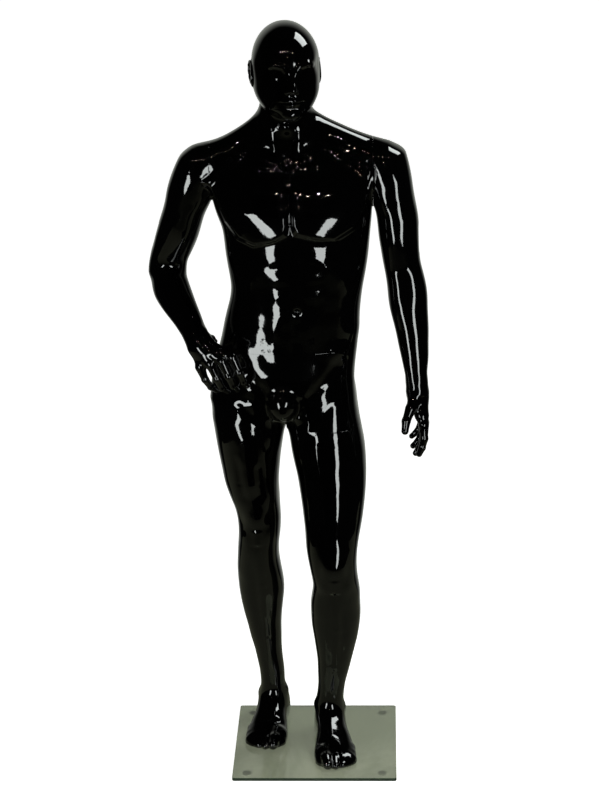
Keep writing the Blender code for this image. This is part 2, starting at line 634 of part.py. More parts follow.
def make_rod():
    """The upright rod, screwed through the glass into a flange with a rubber washer above it."""
    frame = Matrix.Translation((*ROD_AT, 0))
    profile = (
        (0.0050, 0.0010),
        (0.0050, SOLE_Z),
        (0.0080, SOLE_Z),
        (0.0080, SOLE_Z + 0.003),
        (ROD_RADIUS, SOLE_Z + 0.003),
        (ROD_RADIUS, ROD_TOP - 0.006),
        (ROD_RADIUS * 0.5, ROD_TOP),
    )
    finish_part(turned("foot_rod", profile, frame, 20), "stand", ZINC_STEEL)
    finish_part(tube("rod_flange", 0.030, 0.0054, 0.0008, 0.0026, frame), "stand", ZINC_STEEL)
    finish_part(tube("rod_washer", 0.026, 0.0054, 0.0029, 0.0037, frame), "stand", RUBBER)


def make_foot_socket(shell):
    """The tube inside the right leg, on a disc inside the sole, and the hole that lets the rod in."""
    frame = Matrix.Translation((*ROD_AT, 0))
    hole = helper(rod_between("cut_sole_hole", 0.0088, 0.0, 0.030, frame))
    combine(shell, hole, "DIFFERENCE")
    low = SOLE_Z + 0.014
    finish_part(tube("foot_socket", 0.0090, 0.0066, low, ROD_TOP + 0.004, frame), "lower_body", ZINC_STEEL)
    finish_part(tube("socket_disc", 0.0200, 0.0093, low, low + 0.003, frame), "lower_body", ZINC_STEEL)


def seam_frame(body, outward, across):
    """The seam's own frame: Z points out of the part that stays and into the part that comes off."""
    return along(BODIES[body], outward, across)


def make_lid(name, frame, low, high, reach, core):
    """A flat lid that closes a shell just inside its seam: a slice of the hollow, drawn in by the clearance."""
    planes = []
    for axis, limits in enumerate(((-reach[0], reach[0]), (-reach[1], reach[1]), (low, high))):
        normal = frame.to_3x3().col[axis]
        planes.append((frame.translation + normal * limits[0], -normal))
        planes.append((frame.translation + normal * limits[1], normal))
    lid = sliced(name, core, planes)
    lid.data.transform(frame.inverted())
    for axis in (0, 1):
        places = [v.co[axis] for v in lid.data.vertices]
        middle, half = (max(places) + min(places)) / 2, (max(places) - min(places)) / 2
        for vertex in lid.data.vertices:
            vertex.co[axis] = middle + (vertex.co[axis] - middle) * (1 - LID_CLEARANCE / half)
    lid.data.transform(frame)
    return lid


def make_screws(prefix, frame, spread, face, way, body, holders):
    """Two screws along the frame's Z through a lid and its plate, with their heads in the seam's recess."""
    radius, height = SCREW_HEAD
    turn = Matrix.Rotation(0 if way > 0 else math.pi, 4, "X")
    for number, side in enumerate((-1, 1), 1):
        place = frame @ Matrix.Translation((side * spread, 0, face)) @ turn
        head = GAP
        profile = (
            (SCREW_RADIUS, -0.0125),
            (SCREW_RADIUS, head),
            (radius, head),
            (radius * 0.75, head + height),
        )
        screw = turned(f"{prefix}_screw_{number}", profile, place, 10)
        cutter = rod_between(f"cut_{prefix}_screw_{number}", SCREW_RADIUS + GAP, -0.02, 0.01, place, 10)
        helper(cutter)
        for holder in holders:
            combine(holder, cutter, "DIFFERENCE")
        finish_part(screw, body, ZINC_STEEL)


def make_seam(name, frame, holding, leaving, reach, spread, core, square=False):
    """Both sides of one seam: lid, slotted plate and screws in the part that holds, and lid, stud and screws
    in the other."""
    lid_low, lid_high = LID_RECESS, LID_RECESS + LID_THICKNESS
    steel_low, steel_high = lid_high + GAP, lid_high + GAP + STEEL
    half_width, half_length = spread + 0.012, 0.020
    holder_lid = make_lid(f"{name}_lid_inner", frame, -lid_high, -lid_low, reach, core)
    plate_low, plate_high = (-half_width, -half_length, -steel_high), (half_width, half_length, -steel_low)
    holder_plate = box_object(f"{name}_socket_plate", plate_low, plate_high, frame)
    leaver_lid = make_lid(f"{name}_lid_outer", frame, lid_low, lid_high, reach, core)
    stud_low, stud_high = (-half_width, -half_length, steel_low), (half_width, half_length, steel_high)
    stud = box_object(f"{name}_stud", stud_low, stud_high, frame)
    if square:
        half = POST_SIDE / 2
        top = steel_low + 0.001
        shank = box_object(f"add_{name}_post", (-half, -half, -STUD_REACH), (half, half, top), frame)
        half += RUNNING
        top = steel_low - GAP / 2
        opening = box_object(f"cut_{name}_post", (-half, -half, -0.03), (half, half, top), frame)
    else:
        shank = rod_between(f"add_{name}_shank", STUD_RADIUS, -STUD_REACH, steel_low + 0.001, frame)
        top = steel_low - GAP / 2
        opening = rod_between(f"cut_{name}_shank", STUD_RADIUS + RUNNING, -0.03, top, frame)
    combine(stud, helper(shank), "UNION")
    helper(opening)
    for part in (holder_lid, holder_plate, leaver_lid):
        combine(part, opening, "DIFFERENCE")
    make_screws(f"{name}_inner", frame, spread, -lid_low, 1, holding, (holder_lid, holder_plate))
    make_screws(f"{name}_outer", frame, spread, lid_low, -1, leaving, (leaver_lid, stud))
    finish_part(holder_lid, holding, LAMINATE)
    finish_part(holder_plate, holding, ZINC_STEEL)
    finish_part(leaver_lid, leaving, LAMINATE)
    finish_part(stud, leaving, ZINC_STEEL)


def make_wrist(side, frame, arm_shell, hand):
    """A steel peg in the hand that turns in a tube set in the arm's closed end."""
    peg_radius, tube_radius = 0.0060, 0.0090
    depth = 0.026
    socket_hole = helper(rod_between(f"cut_{side}_wrist_socket", tube_radius + GAP, -0.05, 0.01, frame))
    combine(arm_shell, socket_hole, "DIFFERENCE")
    peg_hole = helper(rod_between(f"cut_{side}_wrist_peg", peg_radius + GAP, -0.01, 0.022 + GAP, frame))
    combine(hand, peg_hole, "DIFFERENCE")
    bore = peg_radius + RUNNING
    socket = tube(f"{side}_wrist_socket", tube_radius, bore, -depth, -SEAM_HALF_GAP, frame)
    finish_part(socket, f"{side}_arm", ZINC_STEEL)
    profile = ((peg_radius * 0.7, 0.001 - depth), (peg_radius, 0.003 - depth), (peg_radius, 0.022))
    finish_part(turned(f"{side}_wrist_peg", profile, frame, 20), f"{side}_hand", ZINC_STEEL)


def make_hand(name, palm, digits, plane, body):
    bm = bmesh.new()
    for digit in digits:
        add_chain(bm, digit)
    for start, end in ((0, 1), (1, 2), (1, 3)):
        add_chain(bm, (palm[start], palm[end]))
    skin = merged_skin(f"{name}_skin", bm, HAND_VOXEL, HAND_TRIANGLES, smoothing=5)
    hand = sliced(name, skin, [plane])
    finish_part(hand, body, GLOSS_BLACK)
    return hand


def seam_plane(point, keep_side):
    """The plane through point that keeps what lies the way keep_side points, half the seam's gap back."""
    way = Vector(keep_side).normalized()
    return (Vector(point) + way * SEAM_HALF_GAP, -way)


def make_shells():
    """Cuts the figure at its seams and hollows each piece."""
    figure = merged_skin("figure_skin", figure_forms(), VOXEL, FIGURE_TRIANGLES)
    core = merged_skin("figure_core", figure_forms(SHELL), CORE_VOXEL, CORE_TRIANGLES, smoothing=6)
    up, down, right, left = (0, 0, 1), (0, 0, -1), (-1, 0, 0), (1, 0, 0)
    beside_left = seam_plane((LEFT_SHOULDER_X, 0, 0), right)
    above_waist = seam_plane((0, 0, WAIST_Z), up)
    below_waist = seam_plane((0, 0, WAIST_Z), down)
    wrist_line = (WRIST - ELBOW).normalized()
    planes = {
        "upper_body": [above_waist, beside_left, seam_plane((RIGHT_SHOULDER_X, 0, 0), left)],
        "left_arm": [seam_plane((LEFT_SHOULDER_X, 0, 0), left), seam_plane((0, 0, LEFT_WRIST_Z), up)],
        "right_arm": [
            above_waist,
            seam_plane((RIGHT_SHOULDER_X, 0, 0), right),
            seam_plane(BODIES["right_hand"], -wrist_line),
        ],
        "lower_body": [below_waist, beside_left],
        "left_leg": [
            seam_plane((0, 0, THIGH_Z), down),
            seam_plane((LEGS_APART_X + TURN_CLEARANCE, 0, 0), left),
        ],
    }
    shells = {}
    for body, cuts in planes.items():
        shell = sliced(f"{body}_shell", figure, cuts)
        combine(shell, core, "DIFFERENCE")
        finish_part(shell, body, GLOSS_BLACK)
        shells[body] = shell
    leg_top = THIGH_Z + SEAM_HALF_GAP
    leg_space = box_object("cut_left_leg_space", (LEGS_APART_X, -0.3, -0.1), (0.3, 0.3, leg_top))
    combine(shells["lower_body"], helper(leg_space), "DIFFERENCE")
    return shells, core


def main():
    shells, core = make_shells()
    make_base()
    make_rod()
    make_foot_socket(shells["lower_body"])
    waist = seam_frame("upper_body", (0, 0, 1), (1, 0, 0))
    thigh = seam_frame("left_leg", (0, 0, -1), (1, 0, 0))
    right_shoulder = seam_frame("right_arm", (-1, 0, 0), (0, 0, 1))
    left_shoulder = seam_frame("left_arm", (1, 0, 0), (0, 0, 1))
    make_seam("waist", waist, "lower_body", "upper_body", (0.20, 0.13), 0.032, core, square=True)
    make_seam("left_thigh", thigh, "lower_body", "left_leg", (0.088, 0.13), 0.026, core)
    make_seam("right_shoulder", right_shoulder, "upper_body", "right_arm", (0.085, 0.085), 0.024, core)
    make_seam("left_shoulder", left_shoulder, "upper_body", "left_arm", (0.085, 0.085), 0.024, core)
    line = (WRIST - ELBOW).normalized()
    right_hand = make_hand(
        "right_hand_shell", RIGHT_PALM, RIGHT_DIGITS, seam_plane(BODIES["right_hand"], line), "right_hand"
    )
    left_hand = make_hand(
        "left_hand_shell", LEFT_PALM, LEFT_DIGITS, seam_plane((0, 0, LEFT_WRIST_Z), (0, 0, -1)), "left_hand"
    )
    right_wrist = seam_frame("right_hand", line, line.cross(Vector((0, 0, 1))))
    left_wrist = seam_frame("left_hand", (0, 0, -1), (1, 0, 0))
    make_wrist("right", right_wrist, shells["right_arm"], right_hand)
    make_wrist("left", left_wrist, shells["left_arm"], left_hand)


clear_scene()
AXES = {}
for body_name, body_origin in BODIES.items():
    axis = bpy.data.objects.new(f"{body_name}_axis", None)
    axis.location = body_origin
    bpy.context.scene.collection.objects.link(axis)
    AXES[body_name] = axis
main()
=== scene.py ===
"""The looks of a full body display mannequin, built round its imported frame.

The skin of each piece is the zero level of a distance field. Lofts through ring stations make the trunk and
the limbs, rounded unions join them, and muscles are laid on as soft swellings, plates and creases. Each piece
is meshed from the same field and cut at its seams, so that the gloss runs on across them.

+Z is up. The figure faces -Y, and its own left is +X. The origin is on the floor. The stations and the sizes
of forms are in millimetres, and everything else is in metres.
"""

import math

import bmesh
import bpy
import numpy as np
from mathutils import Matrix, Vector


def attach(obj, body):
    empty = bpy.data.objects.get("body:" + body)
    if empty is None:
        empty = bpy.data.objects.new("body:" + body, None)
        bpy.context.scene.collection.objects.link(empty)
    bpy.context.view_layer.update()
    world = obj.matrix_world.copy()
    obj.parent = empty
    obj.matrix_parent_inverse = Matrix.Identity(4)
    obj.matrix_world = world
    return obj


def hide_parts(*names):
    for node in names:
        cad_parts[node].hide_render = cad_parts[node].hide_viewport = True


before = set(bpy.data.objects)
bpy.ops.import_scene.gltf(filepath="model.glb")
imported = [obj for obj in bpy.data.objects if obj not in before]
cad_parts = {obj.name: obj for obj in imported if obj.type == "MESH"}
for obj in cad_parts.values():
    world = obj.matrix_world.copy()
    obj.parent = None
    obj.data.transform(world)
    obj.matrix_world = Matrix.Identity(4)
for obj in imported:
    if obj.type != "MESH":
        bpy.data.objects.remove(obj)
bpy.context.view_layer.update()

# Seams, as the frame has them
WAIST_Z = 1.030
THIGH_Z = 0.836
RIGHT_SHOULDER_X = -0.1765
LEFT_SHOULDER_X = 0.205
LEFT_WRIST = (0.3065, 0.036, 0.936)
RIGHT_WRIST_AT = 0.210
SEAM_HALF_GAP = 0.00015
LEGS_APART_X = -0.0105
TURN_CLEARANCE = 0.003
SOLE_Z = 0.0123

# Rims: how far the skin turns in at a seam, how far it then runs back, and how near to a seam a point counts
# as on it. Holes: the bore at each wrist, and the rod's hole in the right sole
RIM_DEPTH = 0.0055
RIM_RETURN = 0.012
ON_SEAM = 5e-5
WRIST_BORE = 0.0096
ROD_AT = (-0.058, 0.124)
ROD_HOLE = 0.0088
ROD_HOLE_TOP = SOLE_Z + 0.012

# Where one moulding is meshed in two finenesses, and the grid steps
NECK_Z = 1.570
ANKLE_Z = 0.150
BODY_STEP = 0.0064
ARM_STEP = 0.0052
HEAD_STEP = 0.0040
FOOT_STEP = 0.0040
HAND_STEP = 0.0026

# Lofts: how far stations blur into each other in millimetres, how square a ring is, and how far a ring may
# shrink or grow past the ends
STATION_BLUR = 26
ROUNDNESS = 2.25
LEAST_RING, MOST_RING = 0.55, 1.10

# Fillets between forms
TRUNK_FILLET = 0.060
MASS_FILLET = 0.040
GROIN_FILLET = 0.016
HEAD_FILLET = 0.030
ELBOW_FILLET = 0.030
HIP_FILLET = 0.055
ANKLE_FILLET = 0.045
TOES_FILLET = 0.010
TOE_FILLET = 0.0035
PALM_FILLET = 0.020
KNUCKLE_FILLET = 0.016
FINGER_FILLET = 0.0045
NOSE_FILLET, FACE_FILLET, CHIN_FILLET = 0.011, 0.008, 0.026
EAR_FILLET, EAR_RIM_FILLET = 0.014, 0.006
ARMPIT_FILLET, ARMPIT_Z = 0.010, 1.360
SHOULDER_FILLET, SHOULDER_Z = 0.040, 1.460

# Fields: the value far from every form, how near a form must be to count, how many of its sizes the relief
# reaches, the share of a crease that fades out at each end, and how far in front of its middle the chest ends
FAR = 1.0
NEAR, NEAR_MASS, NEAR_FINE = 0.05, 0.04, 0.03
RELIEF_REACH = 2.4
CREASE_FADE = 0.22
CHEST_DEPTH = 0.2

# Meshing: points in one evaluation, the reach of a slope, the least slope that a step trusts, and how near to
# a cut a point counts as on it
CHUNK = 4000
SLOPE_REACH = 0.0004
LEAST_STEEPNESS = 0.05
CUT_REACH = 2e-5


# Ring stations of the lofts: level, centre x, centre y, half width, depth in front, depth behind
TORSO = (
    (876, -12, 85, 150, 78, 100),
    (905, -16, 85, 174, 89, 112),
    (935, -16, 85, 174, 98, 114),
    (965, -13, 85, 171, 99, 106),
    (996, -7, 85, 168, 98, 96),
    (1026, -1, 85, 166, 97, 89),
    (1056, 4, 84, 163, 97, 86),
    (1086, 8, 82, 161, 96.5, 85),
    (1116, 13, 80, 159, 96, 85),
    (1146, 19, 79, 156, 96.5, 85),
    (1176, 23, 78, 156, 97, 86),
    (1205, 24, 78, 161, 98.5, 88),
    (1235, 24, 78, 166, 100, 92),
    (1265, 24, 78, 170, 100, 96),
    (1294, 24, 78, 172, 102, 100),
    (1323, 24, 78, 175, 104, 104),
    (1353, 19, 78, 183, 103, 107),
    (1385, 15, 79, 188, 99, 107),
    (1420, 14, 81, 190, 92, 102),
    (1450, 13, 85, 180, 83, 94),
    (1478, 12, 89, 150, 66, 82),
    (1500, 10, 90, 110, 56, 70),
)
NECK = (
    (1480, 6, 90, 60, 50, 56),
    (1520, 3, 86, 62, 56, 58),
    (1560, 1, 80, 62, 58, 58),
    (1595, 1, 74, 60, 56, 58),
    (1640, 3, 66, 57, 50, 62),
    (1675, 5, 56, 50, 40, 64),
)
# The yoke of the shoulders runs along X: level x, then y, z, half depth, height below, height above
YOKE = (
    (-215, 86, 1470, 40, 40, 40),
    (-180, 87, 1474, 44, 45, 50),
    (-140, 88, 1480, 44, 50, 58),
    (-100, 89, 1488, 43, 55, 76),
    (-60, 89, 1500, 46, 60, 88),
    (12, 89, 1505, 50, 60, 85),
    (75, 89, 1500, 46, 60, 90),
    (115, 89, 1488, 43, 55, 83),
    (160, 88, 1480, 44, 50, 70),
    (205, 87, 1474, 44, 45, 60),
    (240, 86, 1470, 40, 40, 46),
)
RIGHT_LEG = (
    (940, -94, 85, 50, 60, 60),
    (900, -102, 85, 84, 85, 100),
    (850, -103, 85, 85, 91, 102),
    (812, -98, 83, 84, 92, 96),
    (780, -98, 81, 79, 90, 91),
    (748, -97, 79, 73, 87, 86),
    (716, -95, 77, 68, 83, 81),
    (684, -94, 75, 64, 79, 77),
    (652, -88, 73, 60, 75, 73),
    (620, -82, 71, 55, 70, 68),
    (587, -78, 70, 53, 66, 62),
    (554, -78, 69, 51, 64, 57),
    (522, -82, 69, 50, 64, 55),
    (489, -83, 71, 51, 58, 58),
    (456, -82, 77, 54, 56, 64),
    (422, -79, 84, 56, 54, 68),
    (389, -77, 91, 56, 53, 68),
    (356, -77, 97, 52, 51, 63),
    (322, -76, 102, 47, 48, 56),
    (288, -73, 107, 42, 45, 50),
    (254, -70, 112, 39, 42, 45),
    (220, -66, 116, 34, 39, 42),
    (186, -62, 120, 32, 37, 41),
    (152, -57, 123, 31, 37, 42),
    (118, -56, 126, 30, 40, 44),
    (85, -54, 130, 33, 48, 50),
    (55, -54, 133, 32, 50, 50),
    (30, -54, 135, 30, 50, 45),
)
LEFT_LEG = (
    (940, 76, 85, 50, 60, 60),
    (900, 77, 82, 78, 83, 100),
    (866, 82, 78, 84, 88, 102),
    (819, 86, 71, 89, 92, 98),
    (790, 91, 65, 90, 92, 95),
    (762, 94, 58, 89, 91, 92),
    (733, 98, 51, 86, 90, 90),
    (705, 101, 43, 82, 88, 87),
    (676, 102, 35, 79, 85, 84),
    (647, 103, 26, 75, 82, 80),
    (619, 103, 17, 72, 78, 76),
    (590, 103, 8, 68, 74, 72),
    (562, 101, 0, 64, 70, 68),
    (533, 100, -8, 61, 68, 63),
    (504, 102, -14, 58, 67, 60),
    (475, 105, -14, 56, 62, 58),
    (446, 110, -10, 55, 57, 62),
    (425, 110, -6, 58, 56, 66),
    (396, 107, 0, 60, 55, 70),
    (362, 108, 6, 61, 53, 72),
    (329, 107, 11, 59, 51, 68),
    (295, 107, 16, 54, 49, 60),
    (261, 105, 21, 48, 46, 53),
    (227, 103, 25, 42, 43, 47),
    (193, 99, 29, 38, 40, 43),
    (159, 95, 33, 33, 39, 42),
    (125, 91, 36, 33, 41, 44),
    (95, 88, 38, 35, 47, 48),
    (60, 88, 40, 33, 50, 45),
    (30, 88, 40, 31, 50, 40),
)
LEFT_ARM = (
    (1494, 234, 85, 49, 49, 52),
    (1469, 238, 84, 52, 57, 60),
    (1439, 243, 83, 53, 60, 63),
    (1411, 247, 82, 52, 60, 63),
    (1382, 253, 81, 51, 58, 61),
    (1354, 261, 81, 49, 55, 58),
    (1325, 264, 80, 49, 53, 55),
    (1296, 265, 80, 48, 52, 54),
    (1268, 268, 79, 46, 50, 51),
    (1239, 270, 78, 44, 47, 48),
    (1210, 277, 77, 45, 44, 45),
    (1181, 283, 74, 46, 44, 43),
    (1152, 286, 70, 47, 44, 42),
    (1123, 288, 66, 45, 42, 40),
    (1093, 293, 62, 42, 40, 37),
    (1064, 297, 58, 39, 37, 34),
    (1035, 299, 53, 36, 34, 31),
    (1005, 303, 48, 33, 31, 29),
    (976, 304, 43, 28, 30, 28),
    (946, 307, 38, 24, 29, 28),
    (925, 308, 35, 23, 29, 28),
)
RIGHT_UPPER_ARM = (
    (1488, -207, 86, 43, 48, 51),
    (1469, -212, 87, 49, 56, 59),
    (1440, -218, 90, 55, 60, 61),
    (1410, -226, 93, 56, 60, 60),
    (1379, -232, 98, 55, 58, 60),
    (1348, -246, 105, 51, 55, 56),
    (1317, -256, 113, 52, 53, 53),
    (1286, -265, 121, 52, 51, 50),
    (1255, -276, 130, 50, 48, 46),
    (1224, -288, 140, 46, 44, 41),
    (1200, -292, 146, 42, 42, 38),
)
ELBOW = np.array((-0.292, 0.145, 1.198))
WRIST = np.array((-0.207, -0.010, 1.060))
FOREARM = (
    (0, 0, 0, 40, 40, 40),
    (30, 6, 0, 43, 41, 42),
    (60, 10, 0, 43, 41, 42),
    (90, 9, 0, 41, 38, 39),
    (120, 7, 0, 37, 35, 35),
    (150, 3, 0, 33, 31, 31),
    (180, 2, 0, 30, 28, 28),
    (205, 1, 0, 28, 26, 26),
    (228, 0, 0, 27, 25, 25),
)
# The head in its own frame, turned a little towards its left
HEAD_AT = np.array((0.0055, 0.045, 1.7115))
HEAD_TURN = math.radians(11)
HEAD = (
    (8, 0, 0, 78, 93, 99),
    (-12, 0, 0, 78, 92, 96),
    (-32, 0, 0, 77.5, 91, 88),
    (-52, 0, -4, 76, 86, 74),
    (-70, 0, -10, 70.5, 79, 56),
    (-86, 0, -16, 60, 70, 40),
)
# A foot from heel to toes, lying on its sole: level, across, up, half width, depth of the sole, height
FOOT = (
    (45, 0, 4, 35, 4, 80),
    (75, 0, 4, 36, 4, 84),
    (108, 0, 4, 40, 4, 74),
    (140, 0, 4, 46, 4, 59),
    (170, 0, 4, 50, 4, 45),
    (196, 0, 4, 51, 4, 35),
    (217, 0, 4, 51, 4, 28),
)
RIGHT_HEEL = np.array((-0.048, 0.201, SOLE_Z))
RIGHT_TOES_OUT = math.radians(-6)
LEFT_HEEL = np.array((0.0845, 0.095, SOLE_Z))
LEFT_TOES_OUT = math.radians(6)
RIGHT_PALM = (
    ((-214, 2, 1072), 25),
    ((-203, -14, 1052), 25.5),
    ((-170, -30, 1040), 19),
    ((-190, -26, 1026), 19.5),
)
RIGHT_DIGITS = (
    (((-190, -14, 1052), 19), ((-129, -41, 1036), 12), ((-113, -45, 998), 9.5),
     ((-104, -34, 972), 8.5), ((-97, -20, 957), 7.5)),
    (((-194, -14, 1050), 19), ((-153, -45, 1028), 12), ((-138, -49, 990), 9.5),
     ((-128, -38, 963), 8.5), ((-120, -22, 948), 7.5)),
    (((-199, -12, 1048), 19), ((-180, -40, 1018), 11.8), ((-166, -42, 982), 9.2),
     ((-155, -30, 955), 8.3), ((-144, -13, 941), 7.3)),
    (((-207, -8, 1048), 19), ((-206, -30, 1008), 11.5), ((-195, -28, 976), 8.8),
     ((-183, -16, 953), 7.8), ((-170, 0, 939), 6.8)),
    (((-204, -4, 1062), 21), ((-184, 16, 1060), 13.5), ((-179, 40, 1050), 10.5),
     ((-182, 60, 1040), 9)),
)
LEFT_PALM = (
    ((307, 34, 945), 23),
    ((309, 33, 915), 21.5),
    ((318, 52, 872), 15),
    ((318, 8, 872), 16),
)
LEFT_DIGITS = (
    (((311, 26, 905), 18.5), ((323, -4, 852), 12), ((324, -10, 818), 9.5),
     ((319, -12, 796), 8.5), ((312, -12, 780), 7.5)),
    (((311, 30, 905), 18.5), ((324, 18, 850), 12), ((323, 14, 812), 9.5),
     ((315, 12, 789), 8.5), ((304, 11, 774), 7.5)),
    (((311, 36, 905), 18), ((323, 40, 851), 11.5), ((320, 38, 815), 9.2),
     ((310, 36, 795), 8.3), ((298, 34, 784), 7.3)),
    (((310, 44, 905), 17), ((320, 60, 855), 10.5), ((316, 60, 826), 8.6),
     ((306, 58, 810), 7.7), ((295, 56, 801), 6.8)),
    (((307, 24, 920), 18), ((292, -4, 892), 13), ((281, -18, 866), 10.5),
     ((278, -26, 843), 8.8)),
)


# Fields: each form gives the distance of points to its skin, less than 0 inside


def metres(lengths):
    return np.array(lengths, float) / 1000


def smooth_step(t):
    t = np.clip(t, 0.0, 1.0)
    return t * t * (3 - 2 * t)


def join(a, b, fillet):
    """The union of two fields with a smooth fillet. None stands for a form too far away to matter."""
    if a is None:
        return b
    if b is None:
        return a
    blend = np.clip(1 - np.abs(a - b) / fillet, 0, 1)
    return np.minimum(a, b) - blend**3 * fillet / 6


def turn_about(axis, angle):
    c, s = math.cos(angle), math.sin(angle)
    if axis == "x":
        return np.array(((1, 0, 0), (0, c, -s), (0, s, c)))
    if axis == "y":
        return np.array(((c, 0, s), (0, 1, 0), (-s, 0, c)))
    return np.array(((c, -s, 0), (s, c, 0), (0, 0, 1)))


def axes_along(direction, across):
    """Columns x, y, z: z is the direction, and x is as near to across as it can be."""
    z = np.array(direction, float)
    z /= np.linalg.norm(z)
    y = np.cross(z, across)
    y /= np.linalg.norm(y)
    return np.column_stack((np.cross(y, z), y, z))


def overlaps(form, low, high, reach):
    return bool((form.low - reach <= high).all() and (form.high + reach >= low).all())


def nearest_on(line, offset):
    """Where along a line each offset comes nearest to it, from 0 to 1, and what is left of the offset."""
    t = np.clip(offset @ line / (line @ line), 0, 1)
    return t, offset - t[:, None] * line


class Loft:
    """A rounded tube through ring stations along its own z, with a domed cap at each end."""

    def __init__(self, stations, low_cap, high_cap, origin=(0, 0, 0), axes=None, blur=STATION_BLUR,
                 blunt=ROUNDNESS):
        rows, blur = metres(sorted(stations)), blur / 1000
        self.origin, self.axes = np.array(origin, float), np.eye(3) if axes is None else axes
        self.caps, self.blunt = metres((low_cap, high_cap)), blunt
        self.start, self.end = rows[0, 0], rows[-1, 0]
        self.count = 1 + int(math.ceil((self.end - self.start) / (0.4 * blur)))
        values = self.blurred(rows, np.linspace(self.start, self.end, self.count), blur)
        self.values = np.vstack((2 * values[:1] - values[1:2], values, 2 * values[-1:] - values[-2:-1]))
        self.low, self.high = self.world_box(rows)

    @staticmethod
    def blurred(rows, levels, blur):
        """At each level, the straight line that fits the stations near it best."""
        offset = rows[:, 0] - levels[:, None]
        weight = np.exp(-((offset / blur) ** 2))
        s0, s1, s2 = (weight.sum(1), (weight * offset).sum(1), (weight * offset**2).sum(1))
        share = weight * (s2[:, None] - s1[:, None] * offset) / (s0 * s2 - s1**2)[:, None]
        return share @ rows[:, 1:]

    def world_box(self, rows):
        corners = []
        for level, x, y, half, front, back in rows:
            drop = self.caps[0] if level == self.start else 0
            rise = self.caps[1] if level == self.end else 0
            for cx in (x - half, x + half):
                for cy in (y - front, y + back):
                    corners += [(cx, cy, level - drop), (cx, cy, level + rise)]
        world = np.array(corners) @ self.axes.T + self.origin
        return world.min(0), world.max(0)

    def rings_at(self, level):
        """Centre, half width and depths at each level: a smooth curve through the even samples, and straight
        on past the ends."""
        at = (level - self.start) / (self.end - self.start) * (self.count - 1)
        inside = np.clip(at, 0, self.count - 1)
        i = np.clip(inside.astype(int), 0, self.count - 2)
        t = (inside - i)[:, None]
        v = self.values
        p0, p1, p2, p3 = v[i], v[i + 1], v[i + 2], v[i + 3]
        curve = p1 + 0.5 * t * (p2 - p0 + t * (2 * p0 - 5 * p1 + 4 * p2 - p3 + t * (3 * (p1 - p2) + p3 - p0)))
        past = (at - inside)[:, None]
        onward = curve + past * np.where(past < 0, v[1] - v[0], v[-1] - v[-2])
        onward[:, 2:] = np.clip(onward[:, 2:], LEAST_RING * curve[:, 2:], MOST_RING * curve[:, 2:])
        return onward.T

    def at(self, p):
        local = (p - self.origin) @ self.axes
        x, y, half, front, back = self.rings_at(local[:, 2])
        dx, dy = local[:, 0] - x, local[:, 1] - y
        below, above = np.maximum(self.start - local[:, 2], 0), np.maximum(local[:, 2] - self.end, 0)
        depth = np.where(dy > 0, back, front)
        n = self.blunt
        round_ring = (np.abs(dx / half) ** n + np.abs(dy / depth) ** n) ** (1 / n)
        reach = np.sqrt(round_ring**2 + (below / self.caps[0] + above / self.caps[1]) ** 2) + 1e-6
        away = np.sqrt(dx**2 + dy**2 + below**2 + above**2) + 1e-7
        return away * (1 - 1 / reach)


class Rounded:
    """What an ellipsoid and a soft swelling share: a centre, three half sizes and the turns of their axes."""

    def __init__(self, centre, half, tilt=0, turn=0, lean=0, reach=1):
        self.centre, self.half = metres(centre), metres(half)
        self.axes = turn_about("z", math.radians(turn)) @ turn_about("y", math.radians(lean))
        self.axes = self.axes @ turn_about("x", math.radians(tilt))
        reach = reach * np.sqrt(((self.axes * self.half) ** 2).sum(1))
        self.low, self.high = self.centre - reach, self.centre + reach

    def local(self, p):
        return (p - self.centre) @ self.axes


class Ball(Rounded):
    """An ellipsoid."""

    def at(self, p):
        local = self.local(p)
        away = np.sqrt((local**2).sum(1)) + 1e-7
        reach = np.sqrt(((local / self.half) ** 2).sum(1)) + 1e-6
        return away * (1 - 1 / reach)


class Chain:
    """Rods with a ball at each point, tapering from one radius to the next."""

    def __init__(self, points, fillet):
        self.points = [(metres(p), r / 1000) for p, r in points]
        self.fillet = fillet / 1000
        self.low = np.min([p - r for p, r in self.points], axis=0)
        self.high = np.max([p + r for p, r in self.points], axis=0)

    def at(self, p):
        found = None
        for (start, r1), (end, r2) in zip(self.points, self.points[1:]):
            t, near = nearest_on(end - start, p - start)
            taper = r1 + (r2 - r1) * smooth_step(t)
            found = join(found, np.sqrt((near**2).sum(1)) - taper, self.fillet)
        return found


class Swell(Rounded):
    """A soft swelling, or a hollow where its height is below 0."""

    def __init__(self, centre, half, height, **turns):
        super().__init__(centre, half, reach=RELIEF_REACH, **turns)
        self.height = height / 1000

    def rise(self, p):
        return self.height * np.exp(-((self.local(p) / self.half) ** 2).sum(1))


class Crease:
    """A ridge along a line of points, or a groove where its height is below 0. Depth counts for less."""

    def __init__(self, points, width, height, depth_share=0.4):
        self.points = metres(points)
        self.width, self.height = width / 1000, height / 1000
        self.scale = np.array((1, depth_share, 1))
        self.lengths = [np.linalg.norm(b - a) for a, b in zip(self.points, self.points[1:])]
        reach = RELIEF_REACH * self.width / self.scale
        self.low, self.high = self.points.min(0) - reach, self.points.max(0) + reach

    def rise(self, p):
        nearest, along, done = None, None, 0.0
        for start, end, length in zip(self.points, self.points[1:], self.lengths):
            t, offset = nearest_on((end - start) * self.scale, (p - start) * self.scale)
            away = (offset**2).sum(1)
            place = (done + t * length) / sum(self.lengths)
            along = place if nearest is None else np.where(away < nearest, place, along)
            nearest = join(nearest, away, self.width**2)
            done += length
        fade = smooth_step(along / CREASE_FADE) * smooth_step((1 - along) / CREASE_FADE)
        return self.height * fade * np.exp(-nearest / self.width**2)


def swells(half, height, *centres, **turns):
    return [Swell(centre, half, height, **turns) for centre in centres]


def creases(width, height, *lines, **shape):
    return [Crease(line, width, height, **shape) for line in lines]


